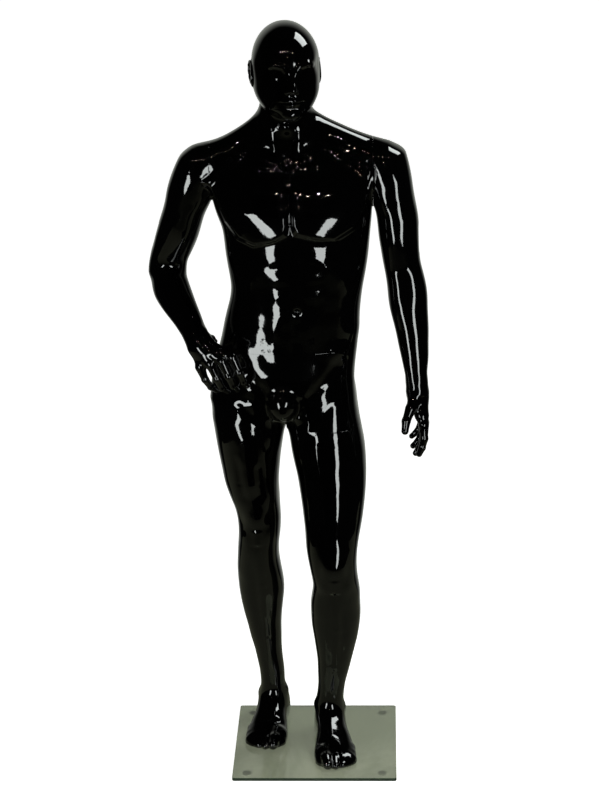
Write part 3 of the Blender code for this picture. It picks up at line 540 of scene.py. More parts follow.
class Plate:
    """A raised part of the chest inside an outline in x and z, highest at one level and fading with depth."""

    def __init__(self, outline, height, edge, middle_y, peak_z, spread_z, depth_fade):
        self.outline = metres(outline)
        self.height, self.edge, self.depth_fade = metres((height, edge, depth_fade))
        self.middle_y, self.peak_z, self.spread_z = metres((middle_y, peak_z, spread_z))
        low, high = self.outline.min(0), self.outline.max(0)
        self.low = np.array((low[0], self.middle_y - CHEST_DEPTH, low[1]))
        self.high = np.array((high[0], self.middle_y, high[1]))

    def depth_inside(self, p):
        """How far inside the outline a point is, seen from the front."""
        flat = p[:, (0, 2)]
        nearest = np.full(len(p), FAR)
        inside = np.zeros(len(p), bool)
        for a, b in zip(self.outline, np.roll(self.outline, -1, axis=0)):
            nearest = np.minimum(nearest, (nearest_on(b - a, flat - a)[1] ** 2).sum(1))
            crosses = (a[1] > flat[:, 1]) != (b[1] > flat[:, 1])
            slope = (b[0] - a[0]) / (b[1] - a[1]) if a[1] != b[1] else 0.0
            inside ^= crosses & (flat[:, 0] < a[0] + (flat[:, 1] - a[1]) * slope)
        return np.where(inside, 1, -1) * np.sqrt(nearest)

    def rise(self, p):
        inside = smooth_step(0.5 + self.depth_inside(p) / (2 * self.edge))
        face = smooth_step((self.middle_y - p[:, 1]) / self.depth_fade)
        tall = np.exp(-(((p[:, 2] - self.peak_z) / self.spread_z) ** 2))
        return self.height * inside * face * tall


def union_of(p, forms, fillet, box, reach=NEAR_FINE, found=None):
    for form in forms:
        if overlaps(form, *box, reach):
            found = join(found, form.at(p), fillet)
    return found


def raised(found, p, features, box):
    for feature in features:
        if overlaps(feature, *box, 0.0):
            found = found - feature.rise(p)
    return found


# Meshing: a net of quads near the field's zero level, refined and drawn onto it

CORNERS = np.array([(i, j, k) for i in (0, 1) for j in (0, 1) for k in (0, 1)])
EDGES = [(a, b) for a in range(8) for b in range(a + 1, 8) if np.abs(CORNERS[a] - CORNERS[b]).sum() == 1]


def sample_grid(field, low, high, step):
    counts = np.ceil((high - low) / step).astype(int) + 1
    spans = [low[i] + step * np.arange(counts[i]) for i in range(3)]
    grid = np.empty(counts)
    flat_x, flat_y = (g.ravel() for g in np.meshgrid(spans[0], spans[1], indexing="ij"))
    slab = 8
    for first in range(0, counts[2], slab):
        levels = spans[2][first : first + slab]
        p = np.empty((len(flat_x), len(levels), 3))
        p[:, :, 0], p[:, :, 1], p[:, :, 2] = flat_x[:, None], flat_y[:, None], levels
        values = field(p.reshape(-1, 3))
        grid[:, :, first : first + slab] = values.reshape(counts[0], counts[1], len(levels))
    return grid


def surface_net(field, low, high, step):
    """Quads round the zero level, one point in each grid cell that it crosses."""
    grid = sample_grid(field, low, high, step)
    inside = grid < 0
    shape = np.array(grid.shape) - 1
    filled = np.zeros(shape, np.int8)
    for i, j, k in CORNERS:
        filled += inside[i : shape[0] + i, j : shape[1] + j, k : shape[2] + k]
    cells = np.argwhere((filled > 0) & (filled < 8))
    number = np.full(shape, -1, np.int64)
    number[tuple(cells.T)] = np.arange(len(cells))
    values = np.stack([grid[tuple((cells + c).T)] for c in CORNERS], axis=1)
    total, hits = np.zeros((len(cells), 3)), np.zeros(len(cells))
    for a, b in EDGES:
        va, vb = values[:, a], values[:, b]
        crossed = (va < 0) != (vb < 0)
        t = np.where(crossed, va / np.where(crossed, va - vb, 1), 0)
        place = CORNERS[a] + t[:, None] * (CORNERS[b] - CORNERS[a])
        total += np.where(crossed[:, None], place, 0)
        hits += crossed
    points = low + step * (cells + total / hits[:, None])
    quads = []
    for axis in range(3):
        u, v = (axis + 1) % 3, (axis + 2) % 3
        near = [slice(1, -1)] * 3
        near[axis] = slice(0, -1)
        far = list(near)
        far[axis] = slice(1, None)
        here, there = inside[tuple(near)], inside[tuple(far)]
        found = np.argwhere(here != there)
        leaving = here[tuple(found.T)]
        base = found.copy()
        base[:, u] += 1
        base[:, v] += 1
        back_u, back_v = np.zeros(3, int), np.zeros(3, int)
        back_u[u], back_v[v] = 1, 1
        ring = [base, base - back_u, base - back_u - back_v, base - back_v]
        quad = np.stack([number[tuple(c.T)] for c in ring], axis=1)
        quads.append(np.where(leaving[:, None], quad, quad[:, ::-1]))
    return points, np.concatenate(quads)


def gradient_of(field, p):
    steps = SLOPE_REACH * np.eye(3)
    return np.stack([(field(p + s) - field(p - s)) / (2 * SLOPE_REACH) for s in steps], axis=1)


def in_chunks(field, p):
    """The field at many points, a level band at a time, so that far forms are left out."""
    order = np.argsort(p[:, 2], kind="stable")
    values = np.empty(len(p))
    for part in np.array_split(order, max(1, len(p) // CHUNK)):
        values[part] = field(p[part])
    return values


def drawn_to(field, points, passes, limit):
    """Points moved along the field's slope until they lie on its zero level."""
    for _ in range(passes):
        slope = gradient_of(field, points)
        steep = np.maximum((slope**2).sum(1), LEAST_STEEPNESS)
        move = -(field(points) / steep)[:, None] * slope
        length = np.linalg.norm(move, axis=1, keepdims=True)
        points = points + move * np.minimum(1, limit / np.maximum(length, 1e-9))
    return points


def relaxed(points, quads, share=0.5):
    """Each point moved towards the middle of its neighbours."""
    ends = np.concatenate([quads[:, (i, (i + 1) % 4)] for i in range(4)])
    total, count = np.zeros_like(points), np.zeros(len(points))
    for a, b in ((0, 1), (1, 0)):
        np.add.at(total, ends[:, a], points[ends[:, b]])
        np.add.at(count, ends[:, a], 1)
    return points + share * (total / count[:, None] - points)


def refined(points, quads):
    """Each quad split in four."""
    ends = np.sort(np.concatenate([quads[:, (i, (i + 1) % 4)] for i in range(4)]), axis=1)
    edges, index = np.unique(ends, axis=0, return_inverse=True)
    middle = index.reshape(4, len(quads)).T + len(points)
    centre = np.arange(len(quads)) + len(points) + len(edges)
    made = [points, points[edges].mean(1), points[quads].mean(1)]
    split = [np.stack([quads[:, i], middle[:, i], centre, middle[:, i - 1]], axis=1) for i in range(4)]
    return np.concatenate(made), np.concatenate(split)


def skin_mesh(field, low, high, step):
    """Points and quads of the field's skin within the box, about half a step apart."""
    def banded(p):
        return in_chunks(field, p)

    points, quads = surface_net(field, np.array(low, float), np.array(high, float), step)
    points = relaxed(points, quads)
    points = drawn_to(banded, points, 2, step)
    points = relaxed(points, quads, 0.3)
    points, quads = refined(points, quads)
    points = drawn_to(banded, points, 2, step / 2)
    return points, quads


class Cut:
    """A flat seam: its point, and its normal, which points out of what is kept."""

    def __init__(self, point, normal):
        self.point = Vector(point)
        self.normal = Vector(normal).normalized()

    def beyond(self, place):
        return (place - self.point).dot(self.normal) > 0

    def holds(self, vert):
        return abs((vert.co - self.point).dot(self.normal)) < ON_SEAM


def largest_part(bm):
    """Deletes all but the biggest connected skin."""
    unseen = set(bm.faces)
    biggest = []
    while unseen:
        group = [unseen.pop()]
        for face in group:
            for edge in face.edges:
                for other in edge.link_faces:
                    if other in unseen:
                        unseen.discard(other)
                        group.append(other)
        biggest = max(biggest, group, key=len)
    kept = set(biggest)
    gone = [f for f in bm.faces if f not in kept]
    bmesh.ops.delete(bm, geom=gone, context="FACES")


def cut_mesh(points, quads, cuts, is_gone):
    """A bmesh of the skin, cut along each plane, without the faces whose middle is gone."""
    mesh = bpy.data.meshes.new("uncut")
    mesh.from_pydata(points.tolist(), [], quads.tolist())
    bm = bmesh.new()
    bm.from_mesh(mesh)
    bpy.data.meshes.remove(mesh)
    for cut in cuts:
        everything = bm.verts[:] + bm.edges[:] + bm.faces[:]
        bmesh.ops.bisect_plane(bm, geom=everything, dist=CUT_REACH, plane_co=cut.point, plane_no=cut.normal)
    gone = [f for f in bm.faces if is_gone(f.calc_center_median())]
    bmesh.ops.delete(bm, geom=gone, context="FACES")
    largest_part(bm)
    return bm


def foot_axes(toes_out):
    toes = np.array((math.sin(toes_out), -math.cos(toes_out), 0))
    return axes_along(toes, (math.cos(toes_out), math.sin(toes_out), 0))


FOREARM_AXES = axes_along(WRIST - ELBOW, np.cross(WRIST - ELBOW, (0, 0, 1)))
RIGHT_WRIST = ELBOW + FOREARM_AXES[:, 2] * RIGHT_WRIST_AT

torso = Loft(TORSO, 40, 20)
neck = Loft(NECK, 15, 15)
yoke = Loft(YOKE, 20, 20, axes=np.array(((0, 0, 1), (1, 0, 0), (0, 1, 0))), blur=36)
right_leg = Loft(RIGHT_LEG, 12, 10)
left_leg = Loft(LEFT_LEG, 12, 10)
left_arm = Loft(LEFT_ARM, 10, 26)
right_upper_arm = Loft(RIGHT_UPPER_ARM, 28, 26)
forearm = Loft(FOREARM, 36, 12, ELBOW, FOREARM_AXES)

TORSO_MASSES = (
    Ball((-96, 138, 908), (84, 70, 80)),
    Ball((72, 136, 908), (84, 70, 80)),
    Ball((-78, 132, 1400), (85, 48, 100)),
    Ball((102, 132, 1400), (85, 48, 100)),
)
GROIN = Ball((-14, 4, 904), (38, 37, 44), tilt=-10)

RIGHT_PEC = (
    (6, 1350), (0, 1326), (-30, 1310), (-74, 1299), (-112, 1314), (-139, 1350),
    (-158, 1392), (-190, 1440), (-120, 1492), (-20, 1482), (3, 1420),
)
LEFT_PEC = (
    (16, 1350), (26, 1328), (69, 1317), (116, 1311), (160, 1335), (184, 1372),
    (202, 1420), (205, 1470), (140, 1494), (34, 1482), (13, 1420),
)


def trunk_features():
    """Chest, belly, back and seat."""
    return [
        Plate(RIGHT_PEC, 12, 8.5, 70, 1360, 110, 50),
        Plate(LEFT_PEC, 12, 8.5, 70, 1360, 110, 50),
        Crease(((11, -20, 1480), (11, -30, 1400), (12, -30, 1330)), 10, -4),
        # throat and collar bones
        Swell((7, 30, 1537), (34, 30, 22), -5.5),
        Swell((8, 34, 1500), (15, 30, 13), -6),
        *creases(14, 2.6, ((-12, 30, 1487), (-60, 32, 1483), (-115, 50, 1497), (-170, 75, 1512)),
            ((28, 30, 1487), (75, 32, 1483), (130, 50, 1497), (195, 75, 1512))),
        *swells((45, 30, 16), -1.6, (-95, 20, 1462), (115, 20, 1462)),
        # belly
        Crease(((15, -20, 1305), (21, -20, 1220), (25, -10, 1140)), 15, -1.5),
        Crease(((25, -10, 1140), (20, -10, 1060), (4, -10, 985)), 12, -1.4),
        Swell((25, -12, 1137), (6.8, 30, 8), -7.5),
        *creases(17, 1.6, ((8, -20, 1296), (-40, -10, 1262), (-82, 10, 1212), (-108, 40, 1165)),
            ((30, -20, 1296), (86, -10, 1262), (130, 10, 1212), (155, 40, 1165))),
        *creases(18, -1.4, ((-60, -10, 1235), (-52, -10, 1130), (-50, 0, 1030), (-45, 0, 965)),
            ((104, -10, 1235), (102, -10, 1130), (92, 0, 1030), (70, 0, 965))),
        # throat muscles
        *creases(8.5, 3.2, ((-14, 30, 1498), (-30, 45, 1560), (-50, 75, 1630)),
            ((26, 30, 1498), (36, 45, 1560), (52, 75, 1630))),
        Swell((7, 20, 1572), (12, 20, 16), 3.5),
        # spine, shoulder blades and loins
        Crease(((8, 180, 1490), (10, 190, 1380), (16, 170, 1200), (4, 170, 1020)), 14, -8.5),
        *creases(16, 5, ((-60, 180, 1455), (-52, 190, 1400), (-68, 190, 1320)),
            ((80, 180, 1455), (74, 190, 1400), (90, 190, 1320))),
        Swell((-105, 175, 1420), (45, 40, 50), 6, turn=15),
        Swell((128, 175, 1420), (45, 40, 50), 6, turn=-15),
        *swells((40, 50, 50), 6, (-110, 150, 1330), (142, 150, 1330)),
        *creases(20, 6.5, ((-20, 170, 1270), (-22, 170, 1150), (-30, 170, 1030)),
            ((50, 170, 1270), (50, 170, 1150), (34, 170, 1030))),
        Crease(((-12, 190, 990), (-14, 210, 930), (-12, 180, 845)), 10, -16),
        *creases(11, -6, ((-150, 160, 868), (-95, 180, 838), (-30, 180, 846)),
            ((130, 160, 864), (72, 180, 834), (10, 180, 846))),
        *swells((30, 35, 35), -4.5, (-165, 110, 920), (140, 110, 920)),
        *swells((24, 40, 15), 0.9, (-14, -18, 1262), (58, -18, 1262)),
        *swells((24, 40, 15), 1.2, (-17, -18, 1218), (61, -18, 1218)),
        *swells((24, 40, 15), 1, (-17, -18, 1174), (61, -18, 1174)),
        *swells((28, 40, 42), 1.6, (-14, -14, 1105), (58, -14, 1105)),
        *swells((26, 50, 28), 5, (-114, 40, 1075), (158, 40, 1075)),
        *swells((18, 35, 12), 1.8, (-108, 30, 1235), (-114, 30, 1269), (-120, 30, 1303), lean=-25),
        *swells((18, 35, 12), 1.8, (152, 30, 1235), (158, 30, 1269), (164, 30, 1303), lean=25),
        # the lines of the groin, and the hip bones above them
        *creases(14, -3.2, ((-140, 20, 1035), (-112, 0, 1000), (-66, 0, 945), (-40, 0, 912)),
            ((132, 20, 1025), (112, 0, 995), (70, 0, 938), (34, 0, 896))),
        *swells((26, 40, 26), 5, (-120, 10, 1030), (122, 10, 1025)),
        *creases(11, -2.6, ((-44, 0, 925), (-52, 0, 895), (-40, 0, 862)),
            ((22, 0, 925), (28, 0, 895), (20, 0, 862))),
    ]


def arm_features():
    return [
        # left: deltoid, biceps, triceps, elbow, forearm
        Crease(((215, 20, 1440), (250, 20, 1385), (298, 60, 1345)), 16, -1.4),
        Crease(((230, 150, 1420), (262, 145, 1375), (305, 105, 1340)), 13, -2.4),
        Swell((258, 30, 1305), (32, 34, 55), 2.4),
        Swell((268, 130, 1340), (32, 30, 60), 3.6),
        Crease(((310, 80, 1330), (312, 78, 1250)), 10, -1.8, depth_share=1),
        Swell((270, 36, 1222), (22, 22, 22), -2.7),
        Swell((276, 120, 1207), (14, 16, 18), 2.7),
        Swell((308, 45, 1172), (22, 30, 45), 3.6),
        Swell((262, 45, 1150), (20, 30, 50), 3),
        Swell((322, 70, 975), (10, 14, 12), 1.2),
        # right: the same, on an arm that bends back
        Crease(((-185, 20, 1440), (-222, 30, 1385), (-280, 80, 1345)), 16, -1.4),
        Crease(((-205, 155, 1420), (-240, 155, 1375), (-285, 125, 1335)), 13, -2.4),
        Swell((-244, 60, 1305), (36, 40, 58), 8.5),
        Swell((-262, 160, 1320), (32, 30, 55), 3.6),
        Crease(((-300, 105, 1330), (-318, 125, 1250)), 10, -1.8, depth_share=1),
        Swell((-262, 95, 1225), (22, 22, 20), -2.7),
        Swell((-300, 184, 1190), (14, 14, 16), 3),
        Swell((-300, 105, 1165), (22, 30, 35), 3.6),
        Swell((-255, 115, 1130), (20, 30, 35), 2.1),
    ]


def leg_features():
    return [
        # right thigh and knee
        Crease(((-110, -10, 860), (-106, -10, 760), (-94, 0, 655)), 30, 4.5),
        Swell((-152, 45, 730), (26, 45, 85), 4.5),
        Swell((-48, 18, 668), (20, 34, 36), 7.1, lean=-12),
        Swell((-128, 20, 672), (18, 30, 40), 4.1, lean=10),
        *creases(10, -2.6, ((-78, 0, 760), (-72, 0, 700), (-76, 0, 645)),
            ((-128, 0, 780), (-118, 0, 700), (-106, 0, 640))),
        Crease(((-125, 20, 930), (-70, 0, 840), (-34, 40, 720)), 13, -2.6),
        Swell((-86, 0, 604), (22, 30, 25), 4.9),
        *swells((11, 26, 26), -2.4, (-118, 20, 602), (-56, 20, 602)),
        Crease(((-84, 5, 580), (-81, 8, 530)), 12, 3),
        Swell((-50, 30, 555), (16, 30, 20), 3),
        Swell((-112, 30, 550), (14, 30, 18), 3),
        # right calf and shin
        Crease(((-80, 8, 525), (-74, 30, 420), (-64, 70, 260), (-56, 80, 150)), 12, 3.9),
        Crease(((-94, 10, 500), (-92, 40, 400), (-80, 70, 270)), 11, -1.9),
        Swell((-48, 150, 408), (24, 40, 60), 7.1),
        Swell((-112, 145, 420), (22, 40, 58), 6),
        Crease(((-80, 170, 480), (-80, 170, 400), (-76, 160, 340)), 9, -3.7),
        Swell((-80, 138, 580), (26, 22, 40), -4.5),
        *swells((24, 30, 85), 3.7, (-60, 160, 730), (-118, 158, 730)),
        *swells((11, 18, 34), -4.1, (-34, 150, 110), (-80, 156, 110)),
        *swells((12, 14, 14), 4.5, (-20, 122, 98), (-91, 134, 86)),
        # left thigh and knee
        Crease(((85, -20, 860), (100, -40, 740), (110, -70, 575)), 34, 3),
        Swell((166, 10, 700), (24, 45, 90), 4.5),
        Swell((60, -45, 568), (20, 34, 38), 5.6, lean=8),
        Swell((148, -40, 572), (18, 30, 38), 2.6, lean=-8),
        *creases(12, -1.4, ((66, -20, 720), (74, -50, 630), (90, -70, 548)),
            ((138, -30, 720), (134, -50, 630), (126, -70, 550))),
        Crease(((120, 20, 930), (50, -10, 820), (26, 20, 700)), 13, -2.6),
        Swell((106, -82, 506), (23, 30, 26), 4.9),
        *swells((11, 26, 26), -2.5, (72, -62, 500), (140, -62, 502)),
        Crease(((107, -80, 480), (109, -70, 432)), 12, 3),
        *swells((15, 30, 18), 3, (80, -55, 452), (138, -55, 452)),
        # left calf and shin
        Crease(((109, -70, 430), (110, -50, 330), (102, -20, 220), (96, 0, 140)), 12, 3.9),
        Crease(((126, -50, 410), (126, -30, 320), (116, 0, 230)), 11, -1.9),
        *swells((16, 40, 46), 6.4, (64, 50, 400), (152, 50, 402)),
        *swells((26, 30, 58), 6, (82, 72, 390), (134, 72, 395)),
        Crease(((107, 80, 470), (108, 90, 380), (107, 80, 320)), 9, -3.7),
        Swell((105, 48, 478), (28, 22, 32), -4.5),
        *swells((24, 35, 85), 3.7, (75, 125, 700), (135, 122, 700)),
        *swells((11, 18, 34), -4.1, (66, 62, 112), (114, 66, 112)),
        *swells((12, 14, 14), 4.5, (52, 30, 102), (126, 40, 90)),
    ]


FEATURES = trunk_features() + arm_features() + leg_features()


class Foot:
    """A foot in its own axes: across, up, and along towards the toes. Its big toe is on the inner side."""

    def __init__(self, heel, toes_out, inner):
        self.origin, self.axes = heel, foot_axes(toes_out)
        self.sole = Loft(FOOT, 43, 34, blunt=2.6)
        toes = (
            (27, 196, 16, 23, 248, 12.8),
            (5, 200, 12, 4, 250, 9.2),
            (-13, 198, 11.5, -13, 242, 8.6),
            (-28, 190, 11, -28, 230, 8.2),
            (-40, 178, 11, -39, 214, 8),
        )
        self.toes = []
        for across, back, thick, tip_across, tip, thin in toes:
            middle = (inner * (across + tip_across) / 2, thin + 7.5, (back + tip) / 2 + 4)
            line = (
                ((inner * across, thick + 8, back), thick),
                (middle, (thick + thin) / 2 * 0.94),
                ((inner * tip_across, thin, tip), thin),
            )
            self.toes.append(Chain(line, 6))
        self.arch = Swell((inner * 40, 0, 110), (16, 16, 45), -7)
        self.instep = Crease(((inner * 6, 80, 75), (inner * 12, 60, 135), (inner * 18, 35, 190)),
                             20, 5, depth_share=0.5)
        self.ball = Swell((inner * 42, 16, 192), (14, 16, 22), 4)
        self.nails = [
            Swell((inner * tip_across, 2 * thin + 1, tip + 2), (thin * 0.62, 4, thin * 0.62), -1.2)
            for _, _, _, tip_across, tip, thin in toes
        ]
        self.low = heel - metres((80, 300, 20))
        self.high = heel + metres((80, 30, 120))

    def at(self, p):
        local = (p - self.origin) @ self.axes
        box = (local.min(0), local.max(0))
        found = self.sole.at(local)
        found = join(found, union_of(local, self.toes, TOE_FILLET, box), TOES_FILLET)
        return raised(found, local, [self.arch, self.instep, self.ball, *self.nails], box)


RIGHT_FOOT = Foot(RIGHT_HEEL, RIGHT_TOES_OUT, 1)
LEFT_FOOT = Foot(LEFT_HEEL, LEFT_TOES_OUT, -1)


class Head:
    """The head in its own axes. The face looks along -y."""

    def __init__(self):
        self.axes = turn_about("z", HEAD_TURN)
        self.skull = Loft(HEAD, 28, 95.5, blur=16, blunt=2.08)
        self.low, self.high = HEAD_AT - 0.14, HEAD_AT + 0.12
        self.features = self.face_features()
        self.parts = self.face_parts()
        self.ears = [self.ear(side) for side in (-1, 1)]

    @staticmethod
    def face_parts():
        nose = Chain((((0, -80, 6), 7.5), ((0, -89, -16), 8), ((0, -100, -37), 9.8)), 6)
        wings = [Ball((side * 9.5, -90.5, -41.5), (6.8, 9.5, 6.5)) for side in (-1, 1)]
        upper = Chain((((-21.5, -80, -68), 2), ((-7, -88.5, -64), 4.2),
                       ((7, -88.5, -64), 4.2), ((21.5, -80, -68), 2)), 3)
        lower = Chain((((-17, -81.5, -70.5), 2.4), ((0, -87.2, -74), 5.4),
                       ((17, -81.5, -70.5), 2.4)), 3)
        chin = Ball((0, -70, -100), (22, 17, 15))
        small = [(FACE_FILLET, part) for part in (*wings, upper, lower)]
        return [(NOSE_FILLET, nose), *small, (CHIN_FILLET, chin)]

    @staticmethod
    def face_features():
        made = [
            Swell((0, -82, -69), (22, 10, 1.6), -2.6),
            Swell((0, -88, -56), (3.4, 10, 6), -1.8),
            Swell((0, -86, -85), (15, 14, 6), -3.5),
            Swell((0, -80, 60), (50, 30, 30), 2),
        ]
        for side in (-1, 1):
            brow = ((side * 59, -62, 10.5), (side * 40, -80, 19), (side * 20, -86, 15),
                    (side * 9.5, -88, 1), (side * 5, -92, -20))
            made += [
                Crease(brow, 6, 6, depth_share=0.5),
                Swell((side * 29, -84, -6), (19, 22, 12.5), -1.2),
                Swell((side * 52, -60, -29), (22, 26, 17), 1.2),
                Swell((side * 48, -58, -60), (18, 26, 20), -1),
                Swell((side * 5, -97, -49), (2.8, 4.5, 2.8), -3.5),
                Swell((side * 25, -84, -69), (4, 10, 3), -1.6),
                Swell((side * 70, -45, 12), (14, 26, 20), -4),
            ]
        return made

    @staticmethod
    def ear(side):
        """A shell of an ear: a thin plate, its rolled rim, and its hollow."""
        plate = Ball((side * 76.5, 10, -16), (5, 16.5, 29), tilt=-10, turn=side * 16)
        rim = []
        for i in range(9):
            angle = math.radians(-60 + 33 * i)
            back, up = 15.5 * math.cos(angle), 27 * math.sin(angle)
            rim.append(((side * (78 + 0.22 * back + 0.05 * up), 10 + back + 0.17 * up, -16 + up), 3))
        return plate, Chain(rim, 2), Swell((side * 80, 4, -17), (10, 8, 13), -3)

    def at(self, p):
        local = (p - HEAD_AT) @ self.axes
        box = (local.min(0), local.max(0))
        found = self.skull.at(local)
        for fillet, part in self.parts:
            found = union_of(local, [part], fillet, box, NEAR_MASS, found)
        for plate, rim, hollow in self.ears:
            if overlaps(plate, *box, NEAR_FINE):
                found = join(join(found, plate.at(local), EAR_FILLET), rim.at(local), EAR_RIM_FILLET)
                found = found - hollow.rise(local)
        return raised(found, local, self.features, box)


HEAD_FORM = Head()


def arm_fillet(p):
    """The fillet between an arm and the trunk: wide over the shoulder, tight in the armpit."""
    rise = smooth_step((p[:, 2] - ARMPIT_Z) / (SHOULDER_Z - ARMPIT_Z))
    return ARMPIT_FILLET + (SHOULDER_FILLET - ARMPIT_FILLET) * rise


def figure(p):
    """The whole body but its hands."""
    box = (p.min(0), p.max(0))

    def part(form, reach=NEAR):
        return form.at(p) if overlaps(form, *box, reach) else None

    trunk = join(join(part(torso), part(neck), TRUNK_FILLET), part(yoke), TRUNK_FILLET)
    trunk = union_of(p, TORSO_MASSES, MASS_FILLET, box, NEAR_MASS, trunk)
    if trunk is not None:
        trunk = join(trunk, part(GROIN, NEAR_FINE), GROIN_FILLET)
    trunk = join(trunk, part(HEAD_FORM, NEAR_FINE), HEAD_FILLET)
    for arm in (join(part(right_upper_arm), part(forearm), ELBOW_FILLET), part(left_arm)):
        trunk = join(trunk, arm, arm_fillet(p))
    legs = ((right_leg, RIGHT_FOOT), (left_leg, LEFT_FOOT))
    sides = [join(part(leg), part(foot, NEAR_FINE), ANKLE_FILLET) for leg, foot in legs]
    sides = [join(trunk, side, HIP_FILLET) for side in sides if side is not None]
    found = np.minimum(sides[0], sides[-1]) if sides else trunk
    if found is None:
        return np.full(len(p), FAR)
    return raised(found, p, FEATURES, box)


def palm_chains(palm):
    return [Chain((palm[a], palm[b]), 10) for a, b in ((0, 1), (1, 2), (1, 3))]


def arm_field(palm):
    """The body with one palm, which widens the end of that forearm to meet the hand."""
    palm_forms = palm_chains(palm)

    def field(p):
        found = union_of(p, palm_forms, PALM_FILLET, (p.min(0), p.max(0)), NEAR_MASS)
        return join(figure(p), found, PALM_FILLET)

    return field


def hand_field(palm, digits, arm_form):
    """A hand with the end of its forearm, which gives the wrist its shape."""
    palm_forms = palm_chains(palm)
    fingers = [Chain(digit, 5) for digit in digits]

    def field(p):
        box = (p.min(0), p.max(0))
        body = union_of(p, palm_forms, PALM_FILLET, box, NEAR_MASS)
        found = join(body, union_of(p, fingers, FINGER_FILLET, box), KNUCKLE_FILLET)
        found = union_of(p, [arm_form], PALM_FILLET, box, found=found)
        return np.full(len(p), FAR) if found is None else found

    return field


# Materials


def add_node(tree, kind, inputs):
    """A new shader node whose inputs are linked to sockets or set to constants."""
    node = tree.nodes.new(f"ShaderNode{kind}")
    for name, value in inputs.items():
        if isinstance(value, bpy.types.NodeSocket):
            tree.links.new(value, node.inputs[name])
        else:
            node.inputs[name].default_value = value
    return node


def smooth_range(tree, value, start, end, low, high):
    """The value from start to end drawn out to run from low to high."""
    limits = {"From Min": start, "From Max": end, "To Min": low, "To Max": high}
    node = add_node(tree, "MapRange", {"Value": value, **limits})
    node.interpolation_type = "SMOOTHSTEP"
    return node.outputs["Result"]


class Material:
    """A Principled surface with procedural detail, in the object's own coordinates."""

    def __init__(self, name, **settings):
        self.material = bpy.data.materials.new(name)
        self.material.use_nodes = True
        self.tree = self.material.node_tree
        self.shader = self.tree.nodes["Principled BSDF"]
        for socket, value in settings.items():
            self.shader.inputs[socket.replace("_", " ")].default_value = value
        self.place = self.add("TexCoord").outputs["Object"]

    def add(self, kind, **inputs):
        return add_node(self.tree, kind, inputs)

    def noise(self, scale, detail=2.0, roughness=0.5, stretch=None, distortion=0.0):
        place = self.place
        if stretch is not None:
            place = self.add("Mapping", Vector=place, Scale=stretch).outputs["Vector"]
        look = {"Scale": scale, "Detail": detail, "Roughness": roughness, "Distortion": distortion}
        return self.add("TexNoise", Vector=place, **look).outputs["Fac"]

    def cells(self, scale):
        return self.add("TexVoronoi", Vector=self.place, Scale=scale).outputs["Distance"]

    def facing_up(self):
        """How level the surface is: 1 on a face that looks straight up or down, and 0 on an upright one."""
        normal = self.add("NewGeometry").outputs["Normal"]
        return self.combined("ABSOLUTE", self.add("SeparateXYZ", Vector=normal).outputs["Z"])

    def along_y(self):
        """The surface's own Y coordinate, in metres."""
        return self.add("SeparateXYZ", Vector=self.place).outputs["Y"]

    def spread(self, value, low, high, start=0.3, end=0.7):
        return smooth_range(self.tree, value, start, end, low, high)

    def combined(self, kind, *values):
        node = add_node(self.tree, "Math", dict(enumerate(values)))
        node.operation = kind
        return node.outputs["Value"]

    def tint(self, value, *stops):
        """Colours along the value, from (place, colour) stops."""
        node = self.add("ValToRGB", Fac=value)
        elements = node.color_ramp.elements
        for i, (at, colour) in enumerate(stops):
            element = elements[i] if i < 2 else elements.new(at)
            element.position = at
            element.color = (*colour, 1)
        self.drive("Base Color", node.outputs["Color"])

    def drive(self, socket, value):
        self.tree.links.new(value, self.shader.inputs[socket])

    def bump(self, value, depth, strength=1.0):
        normal = self.add("Bump", Height=value, Distance=depth, Strength=strength).outputs["Normal"]
        self.drive("Normal", normal)
        return normal


def gloss_black():
    """Sprayed high-gloss black: the slow waves of a hand-laid shell, faint orange peel, and a little dust."""
    made = Material("gloss_black", Specular_IOR_Level=0.5, IOR=1.5, Coat_Weight=0.6, Coat_Roughness=0.015)
    specks = made.spread(made.cells(420.0), 1.0, 0.0, 0.02, 0.09)
    dusty = made.spread(made.noise(3.1), 0.0, 1.0, 0.48, 0.66)
    dust = made.combined("MULTIPLY", specks, dusty)
    made.tint(dust, (0.0, (0.0006, 0.0006, 0.0007)), (1.0, (0.010, 0.010, 0.009)))
    handling = made.spread(made.noise(9.0, 4.0, 0.62), 0.025, 0.075)
    made.drive("Roughness", made.combined("ADD", handling, made.spread(dust, 0.0, 0.25, 0, 1)))
    peel = made.combined("ADD", made.noise(190.0, 1.0), made.noise(34.0, 1.0))
    waves = made.spread(made.noise(13.0, 1.0), 0.0, 26.0, 0.2, 0.8)
    made.drive("Coat Normal", made.bump(made.combined("ADD", peel, waves), 0.00005))
    return made.material


def base_glass():
    """Toughened float glass, grey-green in its depth, with faint smears, dust, and painted shade at its back.
    """
    made = Material("base_glass", IOR=1.52, Transmission_Weight=0.50, Specular_IOR_Level=0.5)
    smears = made.noise(5.0, 5.0, 0.60, (1.0, 0.6, 1.0), 0.6)
    specks = made.spread(made.cells(90.0), 1.0, 0.0, 0.012, 0.035)
    marks = made.combined("SUBTRACT", made.spread(smears, 0.0, 0.8), specks)
    # Painted shade: the plate is made darker towards its back, and from here on marks holds this shade as
    # well as the smears and specks.
    marks = made.combined("SUBTRACT", marks, made.spread(made.along_y(), 0.0, 0.55, -0.05, 0.20))
    edge = made.spread(made.spread(made.facing_up(), 1.0, 0.0), 0.0, 1.0, 0, 1)
    body = made.combined("SUBTRACT", made.spread(marks, 0.45, 1.0, 0, 1), edge)
    made.tint(body, (0.0, (0.040, 0.062, 0.046)), (0.4, (0.360, 0.395, 0.285)), (1.0, (0.520, 0.550, 0.420)))
    made.drive("Roughness", made.spread(smears, 0.030, 0.110))
    made.bump(made.noise(2.2, 1.0), 0.0004, 0.25)
    return made.material


